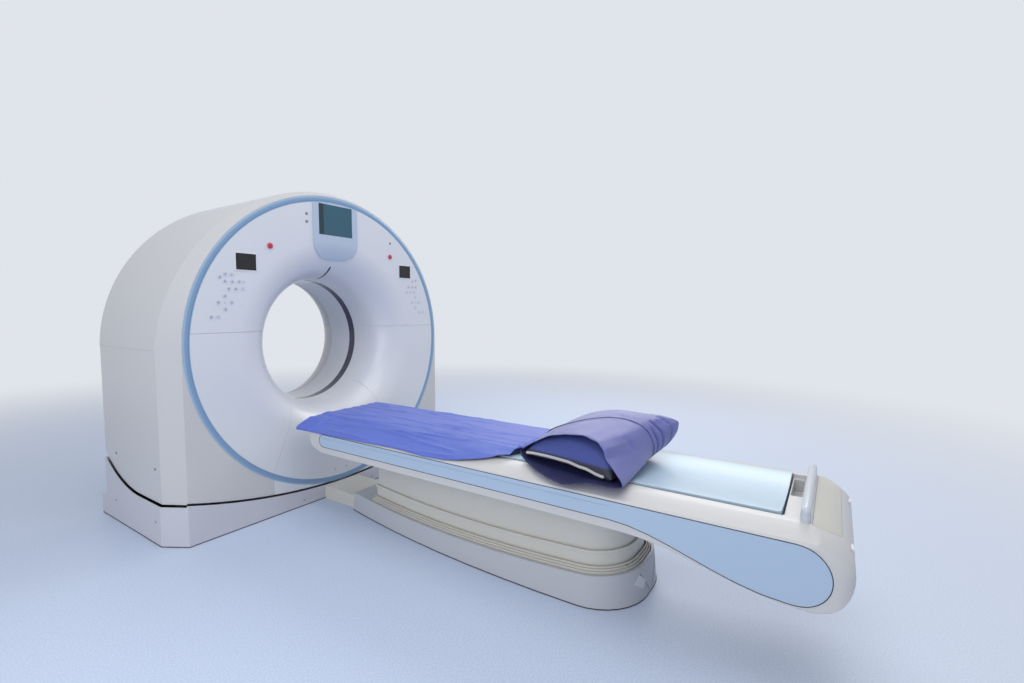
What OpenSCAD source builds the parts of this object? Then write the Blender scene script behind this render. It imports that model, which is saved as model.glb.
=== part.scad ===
// CT scanner: tilting gantry on a low plinth, with a patient couch on a telescopic pedestal.
// Origin on the floor below the isocentre. X across, +Y out of the back of the bore, +Z up.
// Millimetres throughout.

/* [Bore] */
// Radius of the patient bore
bore_r = 390; // [360:5:400]
// Height of the isocentre and of the tilt axis
iso_z = 955; // [940:5:970]
// Radius of the rounded mouth at the front of the bore
mouth_r = 220; // [200:5:225]
// Radius of the rounded mouth at the back of the bore
rear_mouth_r = 265; // [240:5:270]
// Width of the dark scan window around the bore
window_w = 58; // [40:2:80]

/* [Gantry covers] */
// Half width across the flanks
half_w = 945; // [935:1:955]
// Height of the centre of the arched top
arch_z = 910; // [900:2:920]
// Distance from the scan plane to the front face
front_d = 360; // [350:2:370]
// Distance from the scan plane to the back face
rear_d = 500; // [490:2:520]
// Wall of the moulded covers
cover_t = 8; // [5:1:10]
// Radius where the front face turns back
front_edge_r = 877; // [874:1:880]
// Run of the front corner at isocentre height, measured back along the flank
corner_run = 117; // [100:1:130]
// Run of the front corner at floor height
corner_run_low = 115; // [100:1:130]
// Run of the back corner, along the flank
rear_corner_run = 45; // [30:5:60]
// Depth of the back corner, across
rear_corner_in = 55; // [40:5:60]
// Width of the joint between two covers
seam = 1; // [0.6:0.1:2]
// Height of the level joint beside the bore
seam_z = 1035; // [1020:1:1050]
// Half width of the centre panel where it meets the plinth
panel_half_w = 443; // [430:1:460]
// Height where the edge of the centre panel starts to lean in
panel_bend_z = 239; // [225:1:250]
// Half width of the centre panel where it reaches the mouth
panel_top_half_w = 262; // [250:1:275]

/* [Trim ring] */
// Outer radius of the coloured ring
ring_outer_r = 872; // [868:1:873]
// Width of the coloured ring
ring_w = 32; // [24:1:40]
// Thickness of the coloured ring
ring_t = 6; // [5:1:7]
// How far the ring stands proud of the front face
ring_proud = 1; // [0.5:0.5:2]

/* [Front panel fittings] */
// Half width of the monitor surround
bezel_half_w = 158; // [150:1:165]
// Height of the lowest point of the monitor surround
bezel_low_z = 1453; // [1445:1:1460]
// Radius of the lower corners of the monitor surround
bezel_corner_r = 110; // [90:5:130]
// Thickness of the monitor surround
bezel_t = 5; // [4:0.5:6]
// Width of the monitor's screen
screen_w = 234; // [220:1:240]
// Height of the monitor's screen
screen_h = 180; // [170:1:185]
// Height of the centre of the screen
screen_z = 1690; // [1685:1:1695]
// Width of the small side displays
display_w = 106; // [95:1:115]
// Height of the small side displays
display_h = 86; // [80:1:92]
// Left display, place across
display_left_x = -556; // [-580:1:-530]
// Left display, height
display_left_z = 1401; // [1385:1:1415]
// Right display, place across
display_right_x = 570; // [545:1:590]
// Right display, height
display_right_z = 1416; // [1400:1:1430]
// Radius of the stop button's cap
stop_r = 14; // [12:0.5:16]
// Travel of the stop button
stop_travel = 4; // [3:0.5:5]
// Radius of the stop button's stem
stop_stem_r = 10; // [8:0.5:11]
// Left stop button, place across
stop_left_x = -423; // [-440:1:-400]
// Left stop button, height
stop_left_z = 1498; // [1485:1:1510]
// Right stop button, place across
stop_right_x = 434; // [410:1:450]
// Right stop button, height
stop_right_z = 1511; // [1500:1:1525]
// Radius of a large control key
key_r = 11; // [9:0.5:13]
// Radius of a small control key
small_key_r = 7; // [5:0.5:8]
// Height of the keys over the front face
key_h = 1.5; // [1:0.5:3]
// Width of the laser slit over the bore
laser_w = 11; // [8:1:14]

/* [Gantry frame] */
// Radius of the trunnion pins
trunnion_r = 45; // [40:1:50]
// Running clearance of the trunnion pins
trunnion_gap = 0.05; // [0.03:0.01:0.08]
// Tilting frame, distance of its edge in from the side of the covers
frame_in = 155; // [145:1:160]
// Inner radius of the tilting frame's plate
frame_hole_r = 412; // [405:1:420]
// Thickness of the tilting frame's plate
frame_t = 40; // [30:2:50]
// Distance from the scan plane to the tilting frame's plate
frame_y = 156; // [150:1:160]
// Thickness of the stand plates
stand_t = 40; // [30:1:42]
// Stands, distance of their inner face in from the side of the covers
stand_in = 73; // [71:1:75]
// Outer radius of the rotor
rotor_r = 730; // [720:1:740]
// Inner radius of the rotor
rotor_hole_r = 425; // [420:1:430]
// Thickness of the rotor's plate
rotor_t = 30; // [24:1:34]
// Distance from the scan plane to the rotor's plate
rotor_y = 60; // [56:1:62]
// Length of the main bearing
bearing_w = 60; // [50:1:62]
// Radial thickness of each bearing ring
bearing_t = 35; // [30:1:40]
// Running clearance between rotor and frame parts
run_gap = 0.5; // [0.3:0.1:0.8]
// Distance of the X-ray source from the isocentre
source_r = 600; // [590:1:605]
// Radius of the X-ray tube housing
tube_r = 95; // [85:1:100]
// Distance from the X-ray source to the detectors
detector_d = 1050; // [1040:1:1060]
// Half of the fan angle covered by the detectors
fan_half = 24; // [20:1:26]

/* [Plinth] */
// How far the plinth stands proud of the covers
plinth_proud = 10; // [8:0.5:12]
// Wall of the plinth
plinth_t = 5; // [4:0.5:6]
// Height of the plinth at the middle of the front
plinth_front_z = 77; // [70:1:80]
// Radius of the plinth's front edge, seen from the front
plinth_front_r = 3070; // [2900:10:3200]
// Height of the plinth's side edge
plinth_side_z = 198; // [190:1:205]
// Gap between the plinth's edge and the covers
plinth_gap = 10; // [8:1:14]
// Distance from the scan plane to the back of the plinth
plinth_rear_d = 430; // [420:2:440]
// Length of the low feet behind the plinth
foot_l = 70; // [50:5:80]
// Height of the low feet
foot_h = 110; // [90:5:120]
// Thickness of the floor plates
plate_t = 12; // [8:1:12]
// Radius of the anchor holes of the gantry
anchor_r = 11; // [9:0.5:14]
// Distance between the gantry's anchors, across
anchor_x = 1640; // [1600:10:1660]
// Distance between the gantry's anchors, along the bore
anchor_y = 600; // [560:10:620]

/* [Couch pedestal] */
// Half width of the duct between gantry and pedestal
neck_half_w = 125; // [115:1:130]
// Height of the duct
neck_h = 76; // [60:1:76]
// Distance from the scan plane to the front of the pedestal
ped_front_d = 660; // [650:5:680]
// Distance from the scan plane to the front of the telescopic covers
stage_front_d = 820; // [800:5:840]
// Width of the pedestal's rim
rim_w = 24; // [20:1:30]
// Distance from the scan plane to the end of the pedestal
ped_rear_d = 2345; // [2320:5:2360]
// Distance from the scan plane to the widest part of the pedestal
ped_wide_d = 1900; // [1850:10:1950]
// Greatest half width of the pedestal
ped_half_w = 267; // [260:1:275]
// Radius of the pedestal's long sides, seen from above
ped_side_r = 6470; // [6000:10:7000]
// Corner radius of the pedestal's end, seen from above
ped_corner_r = 220; // [200:5:240]
// How far the pedestal's sides lean in
ped_lean = 14; // [8:1:20]
// Lowest height of the pedestal's rim
rim_z = 96; // [92:1:100]
// Radius of the rim's sagging line, seen from the side
rim_sag_r = 19000; // [16000:500:22000]
// Distance from the scan plane to the lowest point of the rim
rim_low_d = 1100; // [1050:10:1150]
// Wall of the telescopic covers
stage_t = 3; // [2:0.5:3]
// Step from one telescopic cover to the next
stage_step = 7; // [6:0.5:8]
// Height from the rim of one narrow telescopic cover to the next
stage_rise = 8; // [7:0.5:10]
// Height of the wide telescopic cover's rim over the pedestal's rim
wide_rise = 84; // [78:1:90]
// Wide stage, how far the lip on its top edge stands out
lip_w = 5; // [3:0.5:5]
// Wide stage, height of the lip
lip_h = 11; // [8:0.5:14]
// Half width of the lifting column
column_half_w = 105; // [95:1:115]
// Half length of the lifting column
column_half_l = 250; // [230:5:280]
// Distance from the scan plane to the lifting column
column_y = 1500; // [1450:5:1550]
// Running clearance between the column's tubes
slide_gap = 0.5; // [0.3:0.1:0.8]
// Radius of the lifting rams
ram_r = 20; // [16:1:22]
// Running clearance of the lifting rams
ram_gap = 0.1; // [0.05:0.01:0.1]
// Distance of a lifting ram from the middle of the column
ram_dy = 45; // [40:1:50]
// Wall of the lifting column's tubes
column_t = 10; // [8:1:12]
// Anchor holes of the pedestal, distance across
ped_anchor_x = 220; // [200:5:230]
// Anchor holes of the pedestal, distance along
ped_anchor_y = 1100; // [1000:10:1150]
// Radius of the pedestal's anchor holes
ped_anchor_r = 9; // [7:0.5:11]

/* [Couch] */
// Half width of the couch's body
couch_half_w = 345; // [340:1:350]
// Height of the underside of the couch's body
couch_low_z = 384; // [380:1:388]
// Height of the flat rails on top of the couch's body
rail_z = 520; // [516:1:522]
// Half width at the outer edge of the flat rails
rail_half_w = 265; // [260:1:275]
// Height where the sloping shoulder meets the side
shoulder_z = 490; // [486:1:494]
// Distance from the scan plane to the nose of the couch's body
nose_d = 545; // [540:5:560]
// Couch body, centre of its round tail behind the tabletop's end
tail_past = 83; // [75:1:90]
// Radius of the round tail
tail_r = 113; // [108:1:115]
// Distance from the scan plane to the start of the deepening belly
belly_d = 2350; // [2300:10:2400]
// Recess of the side insets
inset_d = 4; // [3:0.5:6]
// Height of the handle bar's axis
handle_z = 552; // [550:1:556]
// Radius of the handle bar
handle_r = 14; // [12:0.5:15]
// Half length of the handle bar
handle_half_w = 248; // [240:1:252]

/* [Tabletop] */
// Half width of the tabletop
top_half_w = 223; // [215:1:228]
// Height of the tabletop's edge
top_z = 526; // [524:1:530]
// Thickness of the tabletop at its edge
top_edge_t = 24; // [18:1:28]
// Depth of the tabletop's belly under its edge
top_belly = 26; // [20:1:28]
// Distance from the scan plane to the tabletop's front
top_front_d = 485; // [480:1:500]
// Distance from the scan plane to the tabletop's end
top_rear_d = 2820; // [2800:5:2830]
// Radius of the tabletop's hollow
top_hollow_r = 1400; // [1200:50:1800]
// Half width of the tabletop's hollow
hollow_half_w = 205; // [200:1:210]
// Distance from the scan plane to the end of the mattress
mat_rear_d = 1790; // [1750:5:1800]
// Height of the mattress's top over the tabletop's edge
mat_rise = 22; // [18:1:30]
// Thickness of the sheet's solid
sheet_t = 2; // [1.5:0.5:3]
// Half width of the sheet as it lies
sheet_half_w = 290; // [280:1:300]
// Length of the pillow
pillow_l = 560; // [500:10:600]
// Width of the pillow
pillow_w = 450; // [400:10:460]
// Height of the pillow
pillow_h = 165; // [140:5:180]
// Angle of the pillow on the tabletop
pillow_turn = -11; // [-20:1:0]
// Pillow, place across
pillow_x = -25; // [-40:1:40]
// Pillow, distance from the scan plane
pillow_d = 2120; // [2100:5:2200]

/* [Hidden] */
// Facets of large rounds and of small rounds
big = 180;
fine = 48;
// Gap that lets two pieces of one body lie close without touching
fit = 0.3;
// Slope of the conical corner round the arch, radius over depth
corner_slope = (half_w - 2 - front_edge_r) / corner_run;
front_y = -front_d;
ring_inner_r = ring_outer_r - ring_w;
groove_d = ring_t - ring_proud;
rear_edge_r = half_w - rear_corner_in;
display_left_pos = [display_left_x, display_left_z];
display_right_pos = [display_right_x, display_right_z];
stop_left_pos = [stop_left_x, stop_left_z];
stop_right_pos = [stop_right_x, stop_right_z];
mouth_c = bore_r + mouth_r;
mouth_y = front_y + mouth_r;
rear_mouth_c = bore_r + rear_mouth_r;
rear_mouth_y = rear_d - rear_mouth_r;
// Edge of the covers over the plinth: flat at the front, an arc about the tilt axis at the back
side_arc_r = iso_z - plinth_side_z;
bearing_y = rotor_y + rotor_t;
stand_x = half_w - stand_in;
frame_arm_x = stand_x - 12;
frame_r = half_w - frame_in;
plinth_half_w = half_w + plinth_proud;

// Turns a profile drawn as (radius, depth) about the axis of the bore
module about_bore() {
  translate([0, 0, iso_z]) rotate([-90, 0, 0]) children();
}

// A ring about the axis of the bore, from depth y0 to y1
module bore_ring(r_in, r_out, y0, y1, facets = big) {
  about_bore() translate([0, 0, y0]) difference() {
    cylinder(r = r_out, h = y1 - y0, $fn = facets);
    translate([0, 0, -1]) cylinder(r = r_in, h = y1 - y0 + 2, $fn = facets);
  }
}

// A solid disc about the axis of the bore, from depth y0 to y1
module bore_disc(r, y0, y1) {
  about_bore() translate([0, 0, y0]) cylinder(r = r, h = y1 - y0, $fn = big);
}

// A shape drawn across and up, pushed from depth y0 to y1
module push_y(y0, y1) {
  translate([0, y1, 0]) rotate([90, 0, 0]) linear_extrude(y1 - y0) children();
}

// A shape drawn along and up, pushed from x0 to x1
module push_x(x0, x1) {
  translate([x0, 0, 0]) rotate([90, 0, 90]) linear_extrude(x1 - x0) children();
}

// Outline of the gantry seen from the front, inset by t
module arch_outline(t) {
  translate([0, arch_z]) circle(r = half_w - t, $fn = big);
  translate([-half_w + t, -60]) square([2 * (half_w - t), arch_z + 60]);
}

// Outline of the gantry seen from above, inset by t, with a front corner of the given run
function plan_outline(t, run) = [
  [front_edge_r - 0.45 * t, front_y + t], [half_w - 2 - t, front_y + run + 0.3 * t],
  [half_w - 2 - t, rear_d - rear_corner_run - 0.4 * t], [rear_edge_r - 0.5 * t, rear_d - t]];
function both_sides(pts) = concat(pts, [for (i = [len(pts) - 1:-1:0]) [-pts[i][0], pts[i][1]]]);

// The gantry's outer form, inset by t: flat-sided below the isocentre, arched and coned above
module gantry_form(t) {
  cone_r = front_edge_r - 0.45 * t;
  rear_r = rear_edge_r - 0.5 * t;
  rear_slope = rear_corner_in / rear_corner_run;
  intersection() {
    push_y(front_y + t, rear_d - t) arch_outline(t);
    union() {
      about_bore() intersection() {
        translate([-1000, -1000, -600]) cube([2000, 1000, 1200]);
        rotate_extrude($fn = big)
          polygon([[0, front_y - 1 + t], [cone_r - corner_slope, front_y - 1 + t],
                   [cone_r + 140 * corner_slope, front_y + 140 + t],
                   [rear_r + 70 * rear_slope, rear_d - 70 - t],
                   [rear_r - rear_slope, rear_d + 1 - t], [0, rear_d + 1 - t]]);
      }
      hull() {
        translate([0, 0, -60]) linear_extrude(1) polygon(both_sides(plan_outline(t, corner_run_low)));
        translate([0, 0, iso_z - 1]) linear_extrude(1) polygon(both_sides(plan_outline(t, corner_run)));
      }
    }
  }
}

// Everything below the covers' lower edge, with the edge raised by g; front wall and sides differ
module below_front_edge(g, y0, y1) {
  push_y(y0, y1) difference() {
    translate([-1100, -200]) square([2200, 700]);
    translate([0, plinth_front_z + g + plinth_front_r]) circle(r = plinth_front_r, $fn = 720);
  }
}
module below_side_edge(g, y0) {
  push_x(-1100, 1100) difference() {
    translate([y0, -200]) square([900 - y0, 900]);
    translate([0, iso_z]) circle(r = side_arc_r - g, $fn = 360);
    translate([y0 - 1, plinth_side_z + g]) square([-y0 + 1, 1000]);
  }
}

// Skin of the front face and of the mouth, between two distances out from its surface
module front_skin(a, b, r_max) {
  about_bore() rotate_extrude($fn = big) {
    translate([mouth_c, front_y - b]) square([r_max - mouth_c, b - a]);
    intersection() {
      translate([mouth_c, mouth_y]) difference() {
        circle(r = mouth_r + b, $fn = 120);
        circle(r = mouth_r + a, $fn = 120);
      }
      translate([bore_r - 50, front_y - 50]) square([mouth_c - bore_r + 50, mouth_r + 50]);
    }
  }
}

// Outline of the centre panel, across and up, grown by g
module center_outline(g) {
  polygon([[-panel_half_w - g, -50], [-panel_half_w - g, panel_bend_z],
           [-panel_top_half_w - g, iso_z - 294], [panel_top_half_w + g, iso_z - 294],
           [panel_half_w + g, panel_bend_z], [panel_half_w + g, -50]]);
}

// Holes through the front face for a stop button and its hidden switch
module stop_hole(pos) {
  translate([pos[0], front_y - 20, pos[1]]) rotate([-90, 0, 0])
    cylinder(r = stop_stem_r + fit, h = 60, $fn = fine);
}

// One of the three pieces of the front face inside the ring
module front_piece() {
  color([0.86, 0.87, 0.91]) difference() {
    front_skin(-cover_t, 0, ring_inner_r - fit);
    children();
    stop_hole(stop_left_pos);
    stop_hole(stop_right_pos);
    translate([-laser_w / 2 - fit, front_y + 59, iso_z + bore_r]) cube([laser_w + 2 * fit, 137, 220]);
  }
}

module half_space_x(s) {
  translate([s > 0 ? 0 : -1200, -600, -100]) cube([1200, 1200, 2100]);
}

module front_cover_upper() {
  front_piece() translate([-1000, -600, -100]) cube([2000, 1200, seam_z + 100 + seam / 2]);
}

module front_cover_side(s) {
  front_piece() {
    half_space_x(-s);
    translate([-1000, -600, seam_z - seam / 2]) cube([2000, 1200, 1000]);
    push_y(-600, 600) center_outline(seam / 2);
  }
}
module front_cover_left() { front_cover_side(-1); }
module front_cover_right() { front_cover_side(1); }

module front_panel_center() {
  color([0.86, 0.87, 0.91]) difference() {
    intersection() {
      union() {
        front_skin(-cover_t, 0, ring_outer_r);
        push_y(front_y, front_y + cover_t) difference() {
          translate([-500, 0]) square([1000, 700]);
          translate([0, iso_z]) circle(r = ring_inner_r, $fn = big);
        }
      }
      push_y(-600, 600) center_outline(-seam / 2);
    }
    bore_ring(ring_inner_r - fit, ring_outer_r + fit, front_y - 10, front_y + groove_d);
    below_front_edge(plinth_gap, front_y - 10, front_y + 100);
  }
}

module accent_ring() {
  color([0.45, 0.56, 0.70]) about_bore() rotate_extrude($fn = big)
    polygon([[ring_inner_r, front_y + groove_d], [ring_inner_r, front_y],
             [ring_inner_r + 2, front_y - ring_proud], [ring_outer_r - 2, front_y - ring_proud],
             [ring_outer_r, front_y], [ring_outer_r, front_y + groove_d]]);
}

// One flank with its half of the arch, its front corner and the front face outside the ring
module side_cover_right() {
  color([0.80, 0.80, 0.83]) difference() {
    intersection() {
      gantry_form(0);
      translate([seam / 2, -600, 0]) cube([1200, 1200, 2000]);
    }
    gantry_form(cover_t);
    bore_disc(ring_outer_r + fit, front_y - 10, front_y + cover_t + 1);
    push_y(front_y - 10, front_y + cover_t + 1) center_outline(seam / 2);
    rear_region(seam);
    below_front_edge(plinth_gap, front_y - 10, front_y + cover_t + 0.5);
    below_side_edge(plinth_gap, front_y + cover_t + 0.4);
  }
}
module side_cover_left() { mirror([1, 0, 0]) side_cover_right(); }

// The back face, a block as deep as its wall, grown by g
module rear_region(g) {
  push_y(rear_d - cover_t - g, rear_d + 10) {
    translate([0, iso_z]) circle(r = rear_edge_r - 4 + g, $fn = big);
    translate([-rear_edge_r + 4 - g, -50]) square([2 * (rear_edge_r - 4 + g), iso_z + 50]);
  }
}

// Skin of the back face and of its mouth
module rear_skin() {
  about_bore() rotate_extrude($fn = big) {
    translate([rear_mouth_c, rear_d - cover_t]) square([60, cover_t]);
    intersection() {
      translate([rear_mouth_c, rear_mouth_y]) difference() {
        circle(r = rear_mouth_r, $fn = 120);
        circle(r = rear_mouth_r - cover_t, $fn = 120);
      }
      translate([bore_r - 50, rear_mouth_y]) square([rear_mouth_c - bore_r + 50, rear_mouth_r + 50]);
    }
  }
}

module rear_piece() {
  color([0.82, 0.82, 0.84]) difference() {
    union() {
      rear_skin();
      difference() {
        intersection() {
          rear_region(0);
          push_y(rear_d - cover_t, rear_d) arch_outline(cover_t + 5);
        }
        bore_disc(rear_mouth_c + 30, 0, 900);
      }
    }
    children();
  }
}
module rear_cover_upper() {
  rear_piece() translate([-1000, 0, -100]) cube([2000, 900, seam_z + 100 + seam / 2]);
}
module rear_cover_lower() {
  rear_piece() {
    translate([-1000, 0, seam_z - seam / 2]) cube([2000, 900, 1000]);
    below_side_edge(plinth_gap, 100);
  }
}

// The tube through the bore, in two lengths on either side of the scan window
module bore_liner() {
  color([0.90, 0.91, 0.94]) {
    bore_ring(bore_r, bore_r + cover_t, mouth_y + fit, -window_w / 2 - fit);
    bore_ring(bore_r, bore_r + cover_t, window_w / 2 + fit, rear_mouth_y - fit);
  }
}

module scan_window() {
  color([0.20, 0.18, 0.30]) bore_ring(bore_r, bore_r + cover_t, -window_w / 2, window_w / 2);
}

// Outline of the monitor surround, across and up, inset by t
module bezel_outline(t) {
  w = bezel_half_w - t;
  r = bezel_corner_r - t;
  z0 = bezel_low_z + t;
  difference() {
    union() {
      translate([-w, z0 + r]) square([2 * w, 400]);
      translate([-w + r, z0]) square([2 * (w - r), 400]);
      for (s = [-1, 1]) translate([s * (w - r), z0 + r]) circle(r = r, $fn = 96);
    }
    translate([-200, z0 + 400]) square([400, 300]);
  }
}

module screen_outline(g) {
  translate([-screen_w / 2 - g, screen_z - screen_h / 2 - g])
    square([screen_w + 2 * g, screen_h + 2 * g]);
}

module monitor_bezel() {
  color([0.80, 0.84, 0.90]) difference() {
    intersection() {
      front_skin(0, bezel_t, ring_inner_r - 2);
      push_y(-600, 0) bezel_outline(0);
      translate([-300, -600, iso_z]) cube([600, 600, 900]);
    }
    push_y(-600, 0) screen_outline(fit);
  }
}

module monitor_screen() {
  color([0.20, 0.36, 0.44]) push_y(front_y - bezel_t - 1, front_y) screen_outline(0);
}

module side_displays() {
  for (p = [display_left_pos, display_right_pos]) translate([p[0], 0, p[1]]) {
    color([0.05, 0.05, 0.06]) push_y(front_y - 2, front_y)
      translate([-display_w / 2, -display_h / 2]) square([display_w, display_h]);
    color([0.92, 0.93, 0.95]) push_y(front_y - 3, front_y) difference() {
      translate([-display_w / 2 - 4, -display_h / 2 - 4]) square([display_w + 8, display_h + 8]);
      translate([-display_w / 2 - 0.1, -display_h / 2 - 0.1])
        square([display_w + 0.2, display_h + 0.2]);
    }
  }
}

// Places of the control keys, across and up, on the left and on the right panel
left_keys = [[-690, 1315], [-663, 1331], [-631, 1331], [-665, 1295], [-630, 1295], [-595, 1296],
             [-648, 1257], [-613, 1258], [-578, 1259],
             [-668, 1221], [-701, 1188], [-636, 1188], [-668, 1154], [-738, 1115], [-705, 1115]];
left_small_keys = [[-571, 1296], [-668, 1188]];
right_keys = [[646, 1351], [680, 1360], [607, 1311], [645, 1311], [680, 1312],
              [589, 1273], [625, 1274], [663, 1275],
              [674, 1238], [640, 1201], [708, 1201], [674, 1164], [713, 1129], [752, 1129]];
right_small_keys = [[674, 1201]];

module keypads() {
  color([0.80, 0.81, 0.85]) {
    for (p = concat(left_keys, right_keys)) translate([p[0], front_y, p[1]])
      rotate([90, 0, 0]) cylinder(r = key_r, h = key_h, $fn = 24);
    for (p = concat(left_small_keys, right_small_keys)) translate([p[0], front_y, p[1]])
      rotate([90, 0, 0]) cylinder(r = small_key_r, h = key_h, $fn = 24);
  }
}

// Two breathing lamps beside the monitor and one dark lamp over the right stop button
module status_lamps() {
  color([0.35, 0.37, 0.42]) for (p = [[-196, 1706, 9], [-196, 1661, 9], [438, 1603, 8]])
    translate([p[0], front_y, p[1]]) rotate([90, 0, 0]) cylinder(r = p[2], h = 1.5, $fn = 24);
}

// Dark slit that follows the mouth over the bore
module laser_window() {
  color([0.05, 0.05, 0.07]) intersection() {
    front_skin(-cover_t, 0, ring_inner_r);
    translate([-laser_w / 2, front_y + 59 + fit, iso_z + bore_r]) cube([laser_w, 137 - 2 * fit, 220]);
  }
}

// Collars on the front face and contact housings behind it, for both stop buttons
stop_in = cover_t + stop_travel + 2;
module stop_switches() {
  color([0.75, 0.76, 0.80]) for (p = [stop_left_pos, stop_right_pos])
    translate([p[0], front_y, p[1]]) rotate([-90, 0, 0]) {
      translate([0, 0, -2]) difference() {
        cylinder(r = stop_r + 4, h = 2, $fn = fine);
        translate([0, 0, -1]) cylinder(r = stop_r + 1, h = 4, $fn = fine);
      }
      translate([0, 0, cover_t]) difference() {
        cylinder(r = stop_stem_r + 6, h = 24, $fn = fine);
        translate([0, 0, -1]) cylinder(r = stop_stem_r + fit, h = stop_travel + 8, $fn = fine);
      }
    }
}

// Red cap with its stem; pressed, it moves towards the back of the gantry
module stop_button(pos) {
  color([0.80, 0.12, 0.20]) translate([pos[0], front_y, pos[1]]) rotate([-90, 0, 0]) {
    translate([0, 0, -stop_travel - 5]) rotate_extrude($fn = fine)
      polygon([[0, 0], [stop_r - 3, 0], [stop_r - 1, 0.8], [stop_r, 2.4], [stop_r, 4.7], [0, 4.7]]);
    translate([0, 0, -stop_travel - 1])
      cylinder(r = stop_stem_r, h = stop_in - stop_travel + 5, $fn = fine);
  }
}
module stop_button_left() { stop_button(stop_left_pos); }
module stop_button_right() { stop_button(stop_right_pos); }

// Plate behind the rotor, with box arms that reach forward to the trunnion pins
module tilt_frame() {
  arm_x = frame_r - 90;
  chord_z = iso_z - sqrt(pow(side_arc_r - 12, 2) - pow(frame_y + frame_t, 2));
  color([0.45, 0.47, 0.50]) {
    difference() {
      union() {
        bore_disc(frame_r, frame_y, frame_y + frame_t);
        for (s = [-1, 1]) translate([s > 0 ? arm_x : -frame_arm_x, frame_y, iso_z - 120])
          cube([frame_arm_x - arm_x, frame_t, 240]);
        for (s = [-1, 1]) translate([s > 0 ? rotor_r + 20 : -frame_arm_x, -90, iso_z - 120])
          cube([frame_arm_x - rotor_r - 20, frame_y + 91, 240]);
      }
      bore_disc(frame_hole_r, frame_y - 10, frame_y + frame_t + 10);
      translate([-frame_r, frame_y - 10, 0]) cube([2 * frame_r, frame_t + 20, chord_z]);
      for (a = [0:60:300]) rotate_about_bore(a) translate([610, 0, frame_y - 5])
        cylinder(r = 70, h = frame_t + 10, $fn = fine);
    }
    for (s = [-1, 1]) translate([s * (frame_arm_x - 1), 0, iso_z]) rotate([0, s * 90, 0])
      cylinder(r = trunnion_r, h = stand_x + stand_t + 14 - frame_arm_x, $fn = 96);
  }
}
module rotate_about_bore(a) {
  about_bore() rotate([0, 0, a]) children();
}

// Steel plate on each side that carries a trunnion pin and leans back to clear the covers
module stand(s) {
  color([0.45, 0.47, 0.50]) difference() {
    push_x(s > 0 ? stand_x : -stand_x - stand_t, s > 0 ? stand_x + stand_t : -stand_x) {
      polygon([[170, plate_t], [300, plate_t], [300, plate_t + 20], [270, 200],
               [110, iso_z], [-110, iso_z], [185, 200], [185, plate_t + 20], [170, plate_t + 20]]);
      translate([0, iso_z]) circle(r = 110, $fn = 96);
    }
    translate([-1000, 0, iso_z]) rotate([0, 90, 0])
      cylinder(r = trunnion_r + trunnion_gap, h = 2000, $fn = 96);
  }
}
module stand_left() { stand(-1); }
module stand_right() { stand(1); }

// Flat hollow gearbox of the tilt drive, bolted to the outside of the right stand
module tilt_drive() {
  x0 = stand_x + stand_t;
  color([0.25, 0.27, 0.30]) translate([x0, 0, iso_z]) rotate([0, 90, 0]) difference() {
    cylinder(r = 78, h = 13, $fn = 96);
    translate([0, 0, -1]) cylinder(r = trunnion_r + trunnion_gap, h = 15, $fn = 96);
  }
}

// Rods that carry the front and the back covers on the tilting frame
module cover_brackets() {
  color([0.60, 0.62, 0.65]) {
    for (a = [40, 140, 220, 320]) rotate_about_bore(a) {
      translate([772, 0, front_y + cover_t]) cylinder(r = 12, h = frame_y - front_y - cover_t, $fn = fine);
      translate([735, 0, frame_y + frame_t])
        cylinder(r = 12, h = rear_d - cover_t - frame_y - frame_t, $fn = fine);
    }
  }
}

module bearing_outer() {
  r0 = rotor_hole_r + bearing_t + run_gap;
  color([0.62, 0.63, 0.66]) bore_ring(r0, r0 + bearing_t, bearing_y + 4, frame_y);
}

module drive_stator() {
  color([0.55, 0.35, 0.18]) bore_ring(rotor_r - 70, rotor_r - 30, bearing_y + 14, frame_y);
}

module slip_ring_brush() {
  color([0.20, 0.20, 0.22]) translate([-30, bearing_y + 12 + run_gap, iso_z - 640])
    cube([60, frame_y - bearing_y - 12 - run_gap, 90]);
}

module rotor_plate() {
  color([0.55, 0.57, 0.60]) difference() {
    union() {
      bore_ring(rotor_hole_r, rotor_r, rotor_y, rotor_y + rotor_t);
      bore_ring(rotor_r - 12, rotor_r, -190, rotor_y + 1);
      bore_ring(rotor_hole_r, rotor_hole_r + bearing_t, bearing_y - 1, bearing_y + bearing_w);
    }
    for (a = [22.5:45:337.5]) rotate_about_bore(a) translate([670, 0, rotor_y - 5])
      cylinder(r = 28, h = rotor_t + 10, $fn = fine);
  }
}

module slip_ring() {
  color([0.72, 0.52, 0.20]) bore_ring(rotor_r - 200, rotor_r - 85, bearing_y, bearing_y + 12);
}

// Cylinder housing over the bore with its cable ends, its axis along the bore
module xray_tube() {
  color([0.70, 0.70, 0.68]) translate([0, -185, iso_z + source_r]) rotate([-90, 0, 0]) {
    cylinder(r = tube_r, h = rotor_y + 185, $fn = 96);
    for (s = [-1, 1]) translate([s * 60, 30, -16]) cylinder(r = 24, h = 17, $fn = fine);
  }
}

// Block under the tube with the wedge-shaped opening of the fan beam
module collimator() {
  top = iso_z + source_r - tube_r;
  color([0.35, 0.36, 0.40]) difference() {
    translate([-130, -70, top - 52]) cube([260, rotor_y + 70, 50]);
    push_y(-30, 30) polygon([[-22, top + 5], [22, top + 5], [85, top - 60], [-85, top - 60]]);
  }
}

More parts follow.
